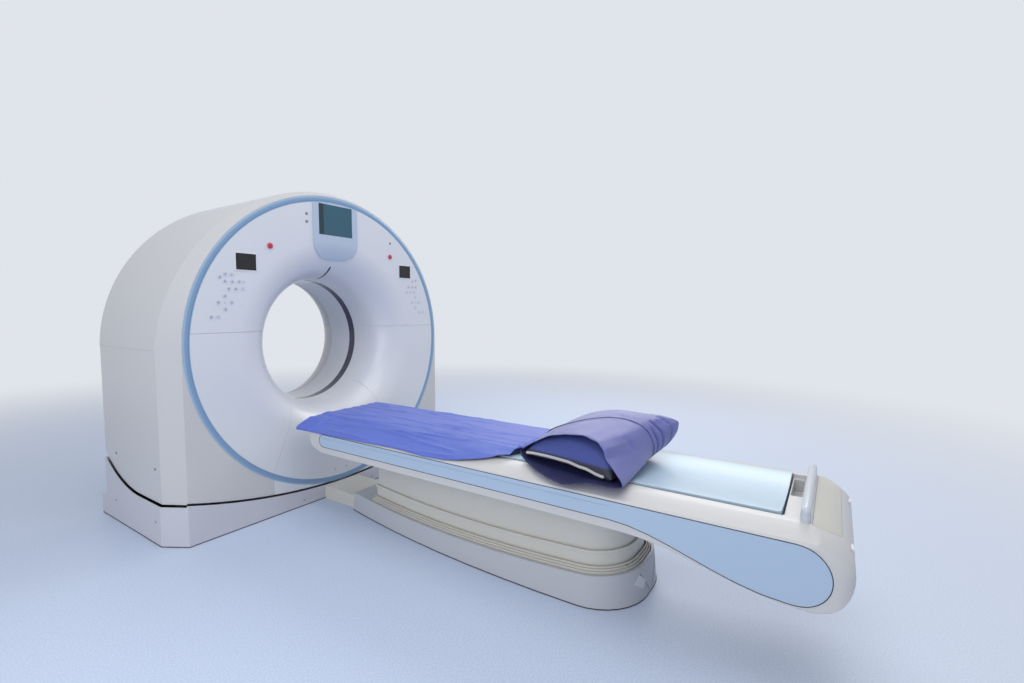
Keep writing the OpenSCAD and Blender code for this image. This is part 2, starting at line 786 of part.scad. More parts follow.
// Arc of detectors centred on the source, with its electronics as fins on the outside
module detector_arc() {
  color([0.30, 0.32, 0.38]) translate([0, 0, iso_z + source_r]) rotate([90, 0, 0]) {
    for (band = [[0, 40, -rotor_y, 80], [40, 62, -rotor_y, 60]]) translate([0, 0, band[2]])
      rotate([0, 0, 270 - fan_half]) rotate_extrude(angle = 2 * fan_half, $fn = 360)
        translate([detector_d - 10 + band[0], 0]) square([band[1] - band[0], band[3] - band[2]]);
  }
}

module hv_generator() {
  color([0.50, 0.52, 0.56]) translate([-690, -180, iso_z - 110]) cube([200, rotor_y + 180, 220]);
}

// Heat exchanger of the tube's oil circuit, with cooling slots across its front
module cooling_unit() {
  color([0.58, 0.60, 0.62]) difference() {
    translate([490, -180, iso_z - 110]) cube([200, rotor_y + 180, 220]);
    for (k = [0:8]) translate([510, -190, iso_z - 92 + k * 22]) cube([160, 60, 8]);
  }
}

// Floor plates and cross bar, fitted inside the walls of the plinth
plate_in = half_w - 245;
module floor_plate(x0, x1, ly) {
  translate([x0, front_y, 0]) cube([x1 - x0, ly, plate_t]);
}
module base_frame() {
  color([0.35, 0.36, 0.38]) difference() {
    intersection() {
      union() {
        floor_plate(-plinth_half_w, -plate_in, front_d + plinth_rear_d);
        floor_plate(plate_in, plinth_half_w, front_d + plinth_rear_d);
        floor_plate(-plate_in - 1, plate_in + 1, 80);
        translate([-plinth_half_w, plinth_rear_d - 100, 0]) cube([2 * plinth_half_w, 80, 90]);
      }
      translate([0, 0, -1]) linear_extrude(200) polygon(both_sides(plinth_plan(plinth_t + fit)));
    }
    for (x = [-1, 1], y = [-1, 1]) translate([x * anchor_x / 2, y * anchor_y / 2, -1])
      cylinder(r = anchor_r, h = plate_t + 2, $fn = fine);
  }
}

// Outline of the plinth from above, inset by t
function plinth_plan(t) = [
  [front_edge_r + 5 - 0.45 * t, front_y - plinth_proud + t],
  [plinth_half_w - t, front_y + corner_run_low - 6 + 0.3 * t], [plinth_half_w - t, plinth_rear_d - t]];

// Thin walls round the foot of the gantry, with two low feet behind
module plinth_cover() {
  wall_y = front_y - plinth_proud;
  foot_w = 90;
  color([0.78, 0.78, 0.82]) {
    difference() {
      linear_extrude(500) polygon(both_sides(plinth_plan(0)));
      translate([0, 0, -1]) linear_extrude(502) polygon(both_sides(plinth_plan(plinth_t)));
      above_front_edge(wall_y - 1, wall_y + plinth_t + 1);
      above_side_edge(wall_y + plinth_t + 0.9);
    }
    for (x = [-plinth_half_w, plinth_half_w - foot_w])
      translate([x, plinth_rear_d - 1, 0]) cube([foot_w, foot_l + 1, foot_h]);
  }
}
module above_front_edge(y0, y1) {
  push_y(y0, y1) intersection() {
    translate([-1100, -10]) square([2200, 700]);
    translate([0, plinth_front_z + plinth_front_r]) circle(r = plinth_front_r, $fn = 720);
  }
}
module above_side_edge(y0) {
  push_x(-1100, 1100) {
    translate([y0, plinth_side_z]) square([-y0, 1000]);
    translate([-1, iso_z]) square([1000, 1000]);
    intersection() {
      translate([-1, 0]) square([1000, iso_z + 1]);
      translate([0, iso_z]) circle(r = side_arc_r, $fn = 360);
    }
  }
}

// Outline of the pedestal from above, inset by k, with its straight front at distance f
side_c = [ped_half_w - ped_side_r, -ped_wide_d];
corner_y = -ped_rear_d + ped_corner_r;
corner_x = side_c[0] + sqrt(pow(ped_side_r - ped_corner_r, 2) - pow(corner_y - side_c[1], 2));
corner_a = asin((corner_y - side_c[1]) / (ped_side_r - ped_corner_r));
function boat_half(k, f) =
  let (r = ped_side_r - k, a0 = asin((-f - side_c[1]) / r))
  concat([for (i = [0:8]) let (a = a0 + (corner_a - a0) * i / 8) side_c + r * [cos(a), sin(a)]],
         [for (i = [1:8]) let (a = corner_a + (-90 - corner_a) * i / 8)
           [corner_x, corner_y] + (ped_corner_r - k) * [cos(a), sin(a)]]);
module boat(k, f) { polygon(both_sides(boat_half(k, f))); }

// Everything over the sagging rim line, raised by dz
module over_rim(dz) {
  push_x(-400, 400) translate([-rim_low_d, rim_z + dz + rim_sag_r]) circle(r = rim_sag_r, $fn = 1440);
}

stage_k = rim_w + 4;
stage_floor = plate_t + 0.4;
module stage(k, top, f, wall = stage_t) {
  difference() {
    translate([0, 0, stage_floor]) linear_extrude(rim_z + top + 100) boat(k, f);
    translate([0, 0, stage_floor - 1]) linear_extrude(rim_z + top + 102) boat(k + wall, f + wall);
    over_rim(top);
  }
}
module narrow_stage(i) {
  color([0.80, 0.79, 0.75])
    stage(stage_k + (i - 1) * stage_step, i * stage_rise, stage_front_d + (i - 1) * stage_step);
}
module stage_1() { narrow_stage(1); }
module stage_2() { narrow_stage(2); }
module stage_3() { narrow_stage(3); }
wide_k = stage_k + 3 * stage_step + 4;
module stage_4() {
  f = stage_front_d + 3 * stage_step;
  color([0.82, 0.81, 0.77]) {
    stage(wide_k, wide_rise, f);
    intersection() {
      stage(wide_k - lip_w, wide_rise, f - lip_w, lip_w + 1);
      over_rim(wide_rise - lip_h);
    }
  }
}

// Tall innermost cover, hung from the underside of the couch
top_k = wide_k + stage_step;
module top_stage() {
  f = stage_front_d + 4 * stage_step;
  color([0.82, 0.81, 0.77]) translate([0, 0, stage_floor + 6]) difference() {
    linear_extrude(couch_low_z - stage_floor - 6) boat(top_k, f);
    translate([0, 0, -1]) linear_extrude(couch_low_z) boat(top_k + stage_t, f + stage_t);
  }
}

module pedestal_base() {
  color([0.78, 0.78, 0.77]) difference() {
    hull() {
      linear_extrude(1) boat(0, ped_front_d);
      translate([0, 0, 169]) linear_extrude(1) boat(ped_lean, ped_front_d + ped_lean / 2);
    }
    translate([0, 0, -1]) linear_extrude(200) boat(rim_w, stage_front_d - 5);
    over_rim(0);
  }
}

module pedestal_plate() {
  color([0.35, 0.36, 0.38]) difference() {
    linear_extrude(plate_t) boat(rim_w + 0.5, stage_front_d - 4);
    for (x = [-1, 1], y = [-1, 1])
      translate([x * ped_anchor_x / 2, -column_y + y * ped_anchor_y / 2, -1])
        cylinder(r = ped_anchor_r, h = plate_t + 2, $fn = fine);
  }
}

// Cable duct on the floor between the plinth and the pedestal
module pedestal_neck() {
  r = 8;
  wall = 4;
  color([0.80, 0.80, 0.76]) push_y(-ped_front_d + fit, front_y - plinth_proud - fit) difference() {
    union() {
      translate([-neck_half_w, 0]) square([2 * neck_half_w, neck_h - r]);
      translate([-neck_half_w + r, 0]) square([2 * (neck_half_w - r), neck_h]);
      for (s = [-1, 1]) translate([s * (neck_half_w - r), neck_h - r]) circle(r = r, $fn = fine);
    }
    translate([-neck_half_w + wall, -1]) square([2 * (neck_half_w - wall), neck_h - r + 1]);
  }
}

// Lifting column: three rectangular tubes, one inside the other
function tube_half(i) = [column_half_w, column_half_l] - [1, 1] * (column_t + slide_gap) * i;
module column_tube(i, z0, z1) {
  h = tube_half(i);
  translate([0, -column_y, z0]) difference() {
    translate([-h[0], -h[1], 0]) cube([2 * h[0], 2 * h[1], z1 - z0]);
    translate([-h[0] + column_t, -h[1] + column_t, -1])
      cube([2 * (h[0] - column_t), 2 * (h[1] - column_t), z1 - z0 + 2]);
  }
}
module ram(dy, z0, z1) {
  translate([0, -column_y + dy, z0]) cylinder(r = ram_r, h = z1 - z0, $fn = fine);
}
module column_lower() {
  color([0.60, 0.61, 0.63]) {
    column_tube(0, plate_t, couch_low_z - 36);
    ram(-ram_dy, plate_t, couch_low_z - 110);
  }
}
module column_middle() {
  h = tube_half(1) - [1, 1] * column_t;
  color([0.64, 0.65, 0.67]) {
    column_tube(1, 26, couch_low_z - 20);
    difference() {
      translate([-h[0] - 1, -column_y - h[1] - 1, 26]) cube([2 * h[0] + 2, 2 * h[1] + 2, 10]);
      translate([0, -column_y - ram_dy, 20]) cylinder(r = ram_r + 2, h = 20, $fn = fine);
    }
  }
}
module column_upper() {
  color([0.68, 0.69, 0.71]) column_tube(2, 40, couch_low_z);
}

// Twin hydraulic cylinder that rides on the middle tube, one bore facing up and one facing down
module lift_cylinder() {
  color([0.30, 0.32, 0.36]) translate([0, -column_y, 36]) difference() {
    union() {
      translate([-30, -ram_dy, 0]) cube([60, 2 * ram_dy, couch_low_z - 70]);
      for (s = [-1, 1]) translate([0, s * ram_dy, 0]) cylinder(r = 32, h = couch_low_z - 70, $fn = fine);
    }
    translate([0, ram_dy, 24]) cylinder(r = ram_r + ram_gap, h = 500, $fn = fine);
    translate([0, -ram_dy, -1]) cylinder(r = ram_r + ram_gap, h = couch_low_z - 90, $fn = fine);
  }
}
module lift_ram() {
  color([0.75, 0.76, 0.78]) ram(ram_dy, 70, couch_low_z);
}

// Side view of the couch's body as (y, z): round nose, level belly that deepens to a round tail
function smooth(u) = u * u * (3 - 2 * u);
function arc(c, r, a0, a1, n) = [for (i = [0:n]) let (a = a0 + (a1 - a0) * i / n) c + r * [cos(a), sin(a)]];
function tadpole(nose, nose_r, nose_long, low, start, end, tail, r, z) = concat(
  [for (i = [0:8]) [-nose - nose_long * nose_r * (1 - cos(11.25 * i)), low + nose_r * (1 - sin(11.25 * i))]],
  [for (i = [0:8]) let (u = i / 8) [-(start + (end - start) * u), low + (z - r - low) * smooth(u)]],
  arc([-tail, z], r, 270, 90, 18));
tail_d = top_rear_d + tail_past;
tail_z = rail_z - tail_r;
body_profile = concat([[-nose_d - 12, rail_z], [-nose_d, rail_z - 12]],
                      tadpole(nose_d, 74, 2, couch_low_z, belly_d, tail_d - 20, tail_d, tail_r, tail_z));

// Cross-section of the couch's body: flat rails, sloping shoulders, upright sides
module body_section() {
  half = [[rail_half_w, rail_z], [couch_half_w - 6, shoulder_z + 3], [couch_half_w, shoulder_z - 6],
          [couch_half_w, 200]];
  polygon([for (p = concat(half, [for (i = [3:-1:0]) [-half[i][0], half[i][1]]])) p]);
}
// Rectangle from above with rounded ends
module rounded_plan(w, d0, r0, d1, r1) {
  translate([-w, -d1 + r1]) square([2 * w, d1 - d0 - r0 - r1]);
  translate([-w + r0, -d0 - r0 - 1]) square([2 * (w - r0), r0 + 1]);
  translate([-w + r1, -d1]) square([2 * (w - r1), r1 + 1]);
  for (s = [-1, 1]) {
    translate([s * (w - r0), -d0 - r0]) circle(r = r0, $fn = 64);
    translate([s * (w - r1), -d1 + r1]) circle(r = r1, $fn = 64);
  }
}
// Back end from above, with elliptic corners rx across and ry deep
function tail_end(w, past, rx, ry) = [for (i = [0:12]) let (a = 7.5 * i)
  [w - rx * (1 - cos(a)), -tail_d - past + ry * (1 - sin(a))]];
module tail_level(z, past, rx, ry) {
  translate([0, 0, z]) linear_extrude(1)
    polygon(both_sides(concat([[couch_half_w + 1, 10 - nose_d]],
                              tail_end(couch_half_w + 1, past, rx, ry))));
}
module couch_form() {
  intersection() {
    push_x(-400, 400) polygon(body_profile);
    push_y(-tail_d - tail_r - 50, -nose_d + 45) body_section();
    translate([0, 0, 200]) linear_extrude(400)
      rounded_plan(couch_half_w, nose_d, 20, tail_d + tail_r, 45);
    hull() {
      tail_level(200, tail_r + 5, 50, 50);
      tail_level(shoulder_z - 60, tail_r + 5, 50, 50);
      tail_level(shoulder_z + 3, 80, 150, 75);
      tail_level(rail_z, 30, 250, 28);
    }
  }
}

// Outline of the light side inset as (y, z), inset by g
inset_top = shoulder_z - 5;
module inset_outline(g) {
  r = 92 - g;
  polygon(concat([for (p = tadpole(640 + g, 34 - g, 1, inset_top - 68 + g, belly_d - 50, tail_d - 53,
                                   tail_d - 32, r, inset_top - 92)) p],
                 arc([-640 - 34, inset_top - 34], 34 - g, 90, 0, 6)));
}
module side_inset(s) {
  x0 = couch_half_w - inset_d + fit;
  color([0.55, 0.66, 0.80]) difference() {
    push_x(s > 0 ? x0 : -couch_half_w, s > 0 ? couch_half_w : -x0) inset_outline(fit);
    translate([s * couch_half_w - 1.5, -2300, inset_top - 21]) cube([3, 1640, 3]);
  }
}
module side_inset_left() { side_inset(-1); }
module side_inset_right() { side_inset(1); }

cap_z = rail_z - 32;
trough_z = 432;
well_d = top_rear_d + 6;
module cap_zone(g) {
  translate([0, 0, cap_z - g]) linear_extrude(300)
    polygon(both_sides(concat([[rail_half_w - 8 + g, g - 2 - tail_d]],
                              tail_end(rail_half_w - 8 + g, tail_r + 10 + g, 190, 100))));
}
module couch_frame() {
  color([0.86, 0.86, 0.87]) difference() {
    couch_form();
    translate([-top_half_w - 9, -well_d, trough_z]) cube([2 * (top_half_w + 9), well_d, 200]);
    translate([-top_half_w - 2, -well_d - 44, rail_z - 14]) cube([2 * (top_half_w + 2), 45, 200]);
    translate([10, -well_d - 40, rail_z - 60]) cube([195, 36, 200]);
    for (s = [-1, 1]) push_x(s > 0 ? couch_half_w - inset_d : -couch_half_w - 1,
                             s > 0 ? couch_half_w + 1 : -couch_half_w + inset_d) inset_outline(0);
    cap_zone(0.5);
  }
}
module tail_cap() {
  color([0.88, 0.87, 0.84]) intersection() {
    couch_form();
    cap_zone(0);
  }
}

module slide_rails() {
  color([0.70, 0.71, 0.73]) for (s = [-1, 1])
    translate([s * 190 - 15, -top_rear_d + 20, trough_z]) difference() {
      cube([30, top_rear_d - 20 - nose_d - 20, 26]);
      for (g = [-1, 30 - 4]) translate([g, -1, 9]) cube([5, top_rear_d, 8]);
    }
}

module end_handle() {
  y = -well_d - 44 - 17;
  color([0.90, 0.91, 0.93]) {
    translate([-handle_half_w, y, handle_z]) rotate([0, 90, 0])
      cylinder(r = handle_r, h = 2 * handle_half_w, $fn = fine);
    for (s = [-1, 1]) {
      translate([s * handle_half_w, y, rail_z]) cylinder(r = handle_r, h = handle_z - rail_z, $fn = fine);
      translate([s * handle_half_w, y, handle_z]) sphere(r = handle_r, $fn = fine);
    }
  }
}

// Carbon tabletop: hollowed above, bellied below, on four carriages that run on the rails
belly_r = (pow(top_half_w, 2) + pow(top_belly, 2)) / (2 * top_belly);
hollow_z = top_z + sqrt(pow(top_hollow_r, 2) - pow(hollow_half_w, 2));
belly_z = top_z - top_edge_t - top_belly;
module tabletop() {
  color([0.80, 0.86, 0.92]) {
    intersection() {
      push_y(-top_rear_d, -top_front_d) difference() {
        intersection() {
          translate([-top_half_w - 5, belly_z - 5]) square([2 * top_half_w + 10, top_z - belly_z + 5]);
          translate([0, belly_z + belly_r]) circle(r = belly_r, $fn = 720);
        }
        translate([0, hollow_z]) circle(r = top_hollow_r, $fn = 720);
      }
      translate([0, 0, 400]) linear_extrude(200)
        rounded_plan(top_half_w, top_front_d, 60, top_rear_d, 12);
    }
    for (s = [-1, 1], d = [top_rear_d - 920, top_rear_d - 320])
      translate([s * 190 - 22, -d - 180, trough_z + 26 + fit])
        cube([44, 180, 70 - 26 - fit]);
  }
}

module mattress() {
  color([0.15, 0.16, 0.30]) push_y(-mat_rear_d, -top_front_d - 8) intersection() {
    translate([-hollow_half_w + 4, belly_z]) square([2 * hollow_half_w - 8, top_z + mat_rise - belly_z]);
    translate([0, hollow_z]) circle(r = top_hollow_r - fit, $fn = 720);
  }
}

// Sheet as it lies: flat on the mattress, down to the rails and out on the shoulders
sheet_z = top_z + mat_rise + fit;
shoulder_slope = (rail_z - shoulder_z - 3) / (couch_half_w - 6 - rail_half_w);
module sheet() {
  lay = [[hollow_half_w - 4, sheet_z], [rail_half_w - 14, rail_z + 1], [rail_half_w + 1, rail_z + 1],
         [sheet_half_w, rail_z + 1 - shoulder_slope * (sheet_half_w - rail_half_w)]];
  under = concat([for (i = [3:-1:0]) [-lay[i][0], lay[i][1]]], lay);
  over = [for (i = [7:-1:0]) under[i] + [0, sheet_t]];
  color([0.33, 0.39, 0.78]) push_y(-mat_rear_d - 10, -top_front_d + 2) polygon(concat(under, over));
}

// Pillow: full at its seam, crowned above and drawn in below where it rests
pillow_corner_r = 30;
pillow_levels = [[0, 50], [0.12, 14], [0.28, 0], [0.55, 14], [0.8, 46], [0.94, 88], [1, 130]];
module pillow() {
  color([0.42, 0.44, 0.70]) translate([pillow_x, -pillow_d, top_z + 2 * fit])
    rotate([0, 0, pillow_turn]) hull() for (level = pillow_levels) {
      inset = pillow_corner_r + level[1];
      translate([0, 0, level[0] * (pillow_h - 1)]) linear_extrude(1)
        offset(r = pillow_corner_r, $fn = 32)
          square([pillow_l - 2 * inset, pillow_w - 2 * inset], center = true);
    }
}

base_frame();
plinth_cover();
stand_left();
stand_right();
tilt_drive();
tilt_frame();
cover_brackets();
bearing_outer();
drive_stator();
slip_ring_brush();
front_cover_upper();
front_cover_left();
front_cover_right();
front_panel_center();
accent_ring();
side_cover_left();
side_cover_right();
rear_cover_upper();
rear_cover_lower();
bore_liner();
scan_window();
monitor_bezel();
monitor_screen();
side_displays();
keypads();
status_lamps();
laser_window();
stop_switches();
stop_button_left();
stop_button_right();
rotor_plate();
xray_tube();
collimator();
detector_arc();
hv_generator();
cooling_unit();
slip_ring();
pedestal_plate();
pedestal_base();
pedestal_neck();
column_lower();
lift_cylinder();
column_middle();
stage_1();
stage_2();
stage_3();
stage_4();
column_upper();
lift_ram();
top_stage();
couch_frame();
side_inset_left();
side_inset_right();
tail_cap();
slide_rails();
end_handle();
tabletop();
mattress();
sheet();
pillow();
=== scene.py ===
"""CT scanner: tilting gantry on a low plinth, with its patient couch, mattress, sheet and pillow."""

import math
import random

import bmesh
import bpy
from mathutils import Matrix, Vector, noise
from mathutils.bvhtree import BVHTree


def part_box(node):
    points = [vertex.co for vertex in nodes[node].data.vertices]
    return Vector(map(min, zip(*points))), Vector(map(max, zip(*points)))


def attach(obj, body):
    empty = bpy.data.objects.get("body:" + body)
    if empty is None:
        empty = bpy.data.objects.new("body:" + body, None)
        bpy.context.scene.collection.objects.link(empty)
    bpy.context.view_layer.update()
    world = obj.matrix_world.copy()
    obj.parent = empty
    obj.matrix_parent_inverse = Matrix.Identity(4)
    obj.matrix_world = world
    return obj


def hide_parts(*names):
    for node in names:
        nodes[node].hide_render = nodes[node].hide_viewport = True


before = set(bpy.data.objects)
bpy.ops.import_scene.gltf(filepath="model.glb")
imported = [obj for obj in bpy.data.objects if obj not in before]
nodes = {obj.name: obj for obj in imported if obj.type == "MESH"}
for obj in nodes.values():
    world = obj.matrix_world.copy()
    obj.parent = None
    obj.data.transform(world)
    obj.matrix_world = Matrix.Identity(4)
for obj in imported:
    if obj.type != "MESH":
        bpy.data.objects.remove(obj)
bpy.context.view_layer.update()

# Camera
# It stands to the left of the couch's foot end and looks along the couch into the bore,
# slightly down, through a wide lens.
scene = bpy.context.scene
camera_place = (-1.9406, -2.9420, 1.1645)
look_yaw, look_pitch, look_roll = [math.radians(angle) for angle in (56.49, -3.95, 0.08)]


def add_object(name, data):
    """A new object in the scene, at the origin."""
    thing = bpy.data.objects.new(name, data)
    scene.collection.objects.link(thing)
    return thing


look = Vector((math.sin(look_yaw) * math.cos(look_pitch),
               math.cos(look_yaw) * math.cos(look_pitch), math.sin(look_pitch)))
camera_data = bpy.data.cameras.new("camera")
camera_data.sensor_width = 36.0
camera_data.lens = 17.24
camera_data.clip_start = 0.05
camera = add_object("camera", camera_data)
camera.matrix_world = (Matrix.Translation(camera_place) @ look.to_track_quat("-Z", "Y").to_matrix().to_4x4()
                       @ Matrix.Rotation(look_roll, 4, "Z"))
scene.camera = camera

# Floor, backdrop and light
# A pale vinyl floor that fades into a plain backdrop, lit by soft panels: a window side on the
# right, a ceiling panel over the couch, a weak fill and a low glow from the camera's side.
scene.view_settings.view_transform = "Standard"
backdrop_color = (0.75, 0.78, 0.83, 1)
floor_reach, fade_start, fade_end = 30.0, 1.6, 7.5


def feed(node, inputs):
    """Sets inputs of a node to constants, or links them where the value is a socket."""
    for key, value in inputs.items():
        if isinstance(value, bpy.types.NodeSocket):
            node.id_data.links.new(value, node.inputs[key])
        else:
            node.inputs[key].default_value = value


def add_node(tree, kind, inputs=None, **settings):
    """Adds a node with its settings, then feeds its inputs."""
    node = tree.nodes.new(kind)
    for setting, value in settings.items():
        setattr(node, setting, value)
    feed(node, inputs or {})
    return node


def new_material(name):
    """A new material, its node tree and its shader."""
    material = bpy.data.materials.new(name)
    material.use_nodes = True
    return material, material.node_tree, material.node_tree.nodes["Principled BSDF"]


def seen_directly(tree):
    """1 to the camera and in reflections, 0 to all other rays."""
    path = add_node(tree, "ShaderNodeLightPath").outputs
    return add_node(tree, "ShaderNodeMath", {0: path["Is Camera Ray"], 1: path["Is Glossy Ray"]},
                    operation="MAXIMUM").outputs[0]


floor_mesh = bpy.data.meshes.new("floor")
floor_corners = ((-1, -1), (1, -1), (1, 1), (-1, 1))
floor_mesh.from_pydata([(x * floor_reach, y * floor_reach, 0) for x, y in floor_corners], [], [(0, 1, 2, 3)])
floor = add_object("floor", floor_mesh)
floor_vinyl, tree, floor_shader = new_material("floor_vinyl")
floor_place = add_node(tree, "ShaderNodeTexCoord").outputs["Object"]
speckle = add_node(tree, "ShaderNodeTexNoise", {"Scale": 160.0, "Detail": 3.0, "Vector": floor_place})
speckle_ramp = add_node(tree, "ShaderNodeValToRGB", {"Fac": speckle.outputs["Fac"]})
for stop, position, shade in zip(speckle_ramp.color_ramp.elements, (0.42, 0.58),
                                 ((0.47, 0.56, 0.74, 1), (0.56, 0.63, 0.78, 1))):
    stop.position, stop.color = position, shade
feed(floor_shader, {"Base Color": speckle_ramp.outputs["Color"], "Roughness": 0.42})
far_off = add_node(tree, "ShaderNodeVectorMath", {0: floor_place}, operation="LENGTH")
fade = add_node(tree, "ShaderNodeMapRange", {"Value": far_off.outputs["Value"], "From Min": fade_start,
                                             "From Max": fade_end}, interpolation_type="SMOOTHSTEP")
fade_seen = add_node(tree, "ShaderNodeMath", {0: fade.outputs["Result"], 1: seen_directly(tree)},
                     operation="MULTIPLY")
backdrop_glow = add_node(tree, "ShaderNodeEmission", {"Color": backdrop_color})
floor_mix = add_node(tree, "ShaderNodeMixShader", {0: fade_seen.outputs[0], 1: floor_shader.outputs[0],
                                                   2: backdrop_glow.outputs[0]})
feed(tree.nodes["Material Output"], {"Surface": floor_mix.outputs[0]})
floor_mesh.materials.append(floor_vinyl)

world = bpy.data.worlds.new("studio")
scene.world = world
world.use_nodes = True
tree = world.node_tree
sky = tree.nodes["Background"]
feed(sky, {"Color": (0.93, 0.95, 1.0, 1), "Strength": 0.46})
backdrop = add_node(tree, "ShaderNodeBackground", {"Color": backdrop_color, "Strength": 1.0})
sky_mix = add_node(tree, "ShaderNodeMixShader", {0: seen_directly(tree), 1: sky.outputs[0],
                                                 2: backdrop.outputs[0]})
feed(tree.nodes["World Output"], {"Surface": sky_mix.outputs[0]})


def soft_panel(name, place, target, size, power, color):
    """A rectangular lamp that faces a point of the object."""
    data = bpy.data.lights.new(name, "AREA")
    data.shape = "RECTANGLE"
    data.size, data.size_y = size
    data.energy = power
    data.color = color
    lamp = add_object(name, data)
    lamp.location = place
    lamp.rotation_euler = (Vector(target) - Vector(place)).to_track_quat("-Z", "Y").to_euler()


soft_panel("window_light", (4.0, -0.9, 3.5), (0.0, -1.2, 0.6), (5.0, 2.0), 125, (1.0, 0.985, 0.96))
soft_panel("ceiling_light", (-0.8, -2.4, 4.2), (-0.1, -1.0, 0.5), (4.0, 4.0), 78, (0.98, 0.99, 1.0))
soft_panel("fill_light", (-4.2, -1.6, 3.2), (-0.6, -0.4, 1.3), (2.5, 2.0), 34, (0.97, 0.98, 1.0))
soft_panel("low_glow", (-3.0, -2.0, 0.95), (-0.3, -1.7, 0.42), (2.6, 1.4), 20, (0.97, 0.98, 1.0))

# Plinth and floor frame
# A steel frame bolted to the floor, with a thin moulded skirt round it in light grey that is
# clipped on at the top and screwed at the sides.


def tinted(tree, color, change, factor):
    """The colour, from a little darker to a little lighter as the factor says."""
    return add_node(tree, "ShaderNodeMix",
                    {0: factor, 6: (*[c * (1 - change) for c in color], 1),
                     7: (*[min(1.0, c * (1 + change)) for c in color], 1)}, data_type="RGBA").outputs[2]


def moulded(name, color, roughness, grain=0.03, cloud=0.02, edge=0.0, finish=None):
    """Painted metal or moulded plastic: fine grain, a faint cloud, and edges a little rounded."""
    material, tree, shader = new_material(name)
    place = add_node(tree, "ShaderNodeTexCoord").outputs["Object"]
    clouds = add_node(tree, "ShaderNodeTexNoise", {"Scale": 3.0, "Detail": 4.0, "Vector": place})
    clouds = clouds.outputs["Fac"]
    wear = add_node(tree, "ShaderNodeMapRange", {"To Min": roughness * 0.96, "To Max": roughness * 1.04,
                                                 "Value": clouds})
    fine = add_node(tree, "ShaderNodeTexNoise", {"Scale": 900.0, "Detail": 2.0, "Vector": place})
    bump = add_node(tree, "ShaderNodeBump", {"Strength": grain, "Distance": 0.0004,
                                             "Height": fine.outputs["Fac"]})
    if edge:
        feed(bump, {"Normal": add_node(tree, "ShaderNodeBevel", {"Radius": edge}, samples=4).outputs[0]})
    feed(shader, {"Base Color": tinted(tree, color, cloud, clouds), "Roughness": wear.outputs[0],
                  "Normal": bump.outputs[0], **(finish or {})})
    return material


# Geometry Nodes tree that merges a part's loose triangles and shades it smooth between its edges
soft_shading = bpy.data.node_groups.new("soft_shading", "GeometryNodeTree")
soft_shading.interface.new_socket("Geometry", in_out="INPUT", socket_type="NodeSocketGeometry")
soft_shading.interface.new_socket("Geometry", in_out="OUTPUT", socket_type="NodeSocketGeometry")
sharp_over = soft_shading.interface.new_socket("Sharp over", in_out="INPUT", socket_type="NodeSocketFloat")
sharp_over.default_value = math.radians(28)
given = add_node(soft_shading, "NodeGroupInput").outputs
weld = add_node(soft_shading, "GeometryNodeMergeByDistance", {"Distance": 1e-5,
                                                              "Geometry": given["Geometry"]})
shade_faces = add_node(soft_shading, "GeometryNodeSetShadeSmooth", {"Geometry": weld.outputs["Geometry"]},
                       domain="FACE")
edge_angle = add_node(soft_shading, "GeometryNodeInputMeshEdgeAngle").outputs["Unsigned Angle"]
is_sharp = add_node(soft_shading, "FunctionNodeCompare", {"A": edge_angle, "B": given["Sharp over"]},
                    data_type="FLOAT", operation="GREATER_THAN")
shade_edges = add_node(soft_shading, "GeometryNodeSetShadeSmooth",
                       {"Shade Smooth": False, "Geometry": shade_faces.outputs["Geometry"],
                        "Selection": is_sharp.outputs["Result"]}, domain="EDGE")
add_node(soft_shading, "NodeGroupOutput", {"Geometry": shade_edges.outputs["Geometry"]})


def dress(material, *names):
    """Gives nodes of the part their finish and their soft shading."""
    for name in names:
        part = nodes[name]
        part.data.materials.clear()
        part.data.materials.append(material)
        part.modifiers.new("soft shading", "NODES").node_group = soft_shading


plinth_grey = moulded("plinth_grey", (0.545, 0.55, 0.60), 0.42, edge=0.002)
frame_steel = moulded("frame_steel", (0.10, 0.11, 0.12), 0.5, cloud=0.15)
dress(plinth_grey, "plinth_cover")
dress(frame_steel, "base_frame", "stand_left", "stand_right", "tilt_frame", "pedestal_plate")

# Works inside the gantry
# The turned steel ring of the rotor, the copper-wound drive, the brass slip ring and the painted
# units; they show through the gap over the plinth and when the machine stands open.
bare_metal = {"Metallic": 0.85}
machined_steel = moulded("machined_steel", (0.42, 0.43, 0.45), 0.35, cloud=0.1, finish=bare_metal)
winding_copper = moulded("winding_copper", (0.30, 0.11, 0.04), 0.4, cloud=0.2, finish=bare_metal)
track_brass = moulded("track_brass", (0.50, 0.33, 0.10), 0.3, cloud=0.1, finish=bare_metal)
drive_black = moulded("drive_black", (0.03, 0.03, 0.035), 0.45, cloud=0.1)
unit_grey = moulded("unit_grey", (0.22, 0.23, 0.25), 0.5, cloud=0.1)
dress(machined_steel, "bearing_outer", "rotor_plate", "column_lower", "column_middle",
      "column_upper", "lift_ram", "slide_rails", "cover_brackets")
dress(drive_black, "tilt_drive", "slip_ring_brush", "lift_cylinder")
dress(winding_copper, "drive_stator")
dress(track_brass, "slip_ring")
dress(unit_grey, "xray_tube", "collimator", "detector_arc", "hv_generator", "cooling_unit")

# Gantry covers
# Large moulded shells with a satin gloss: cool white round the bore, a warmer grey on the flanks
# and the back. They hang on rods of the tilting frame and meet in narrow joints.
satin_coat = {"Coat Weight": 0.25, "Coat Roughness": 0.15}
cover_white = moulded("cover_white", (0.66, 0.68, 0.73), 0.28, edge=0.0015, finish=satin_coat)
cover_grey = moulded("cover_grey", (0.55, 0.55, 0.56), 0.36, edge=0.003, finish=satin_coat)
dress(cover_white, "front_cover_upper", "front_cover_left", "front_cover_right",
      "front_panel_center", "bore_liner")
dress(cover_grey, "side_cover_left", "side_cover_right", "rear_cover_upper", "rear_cover_lower")

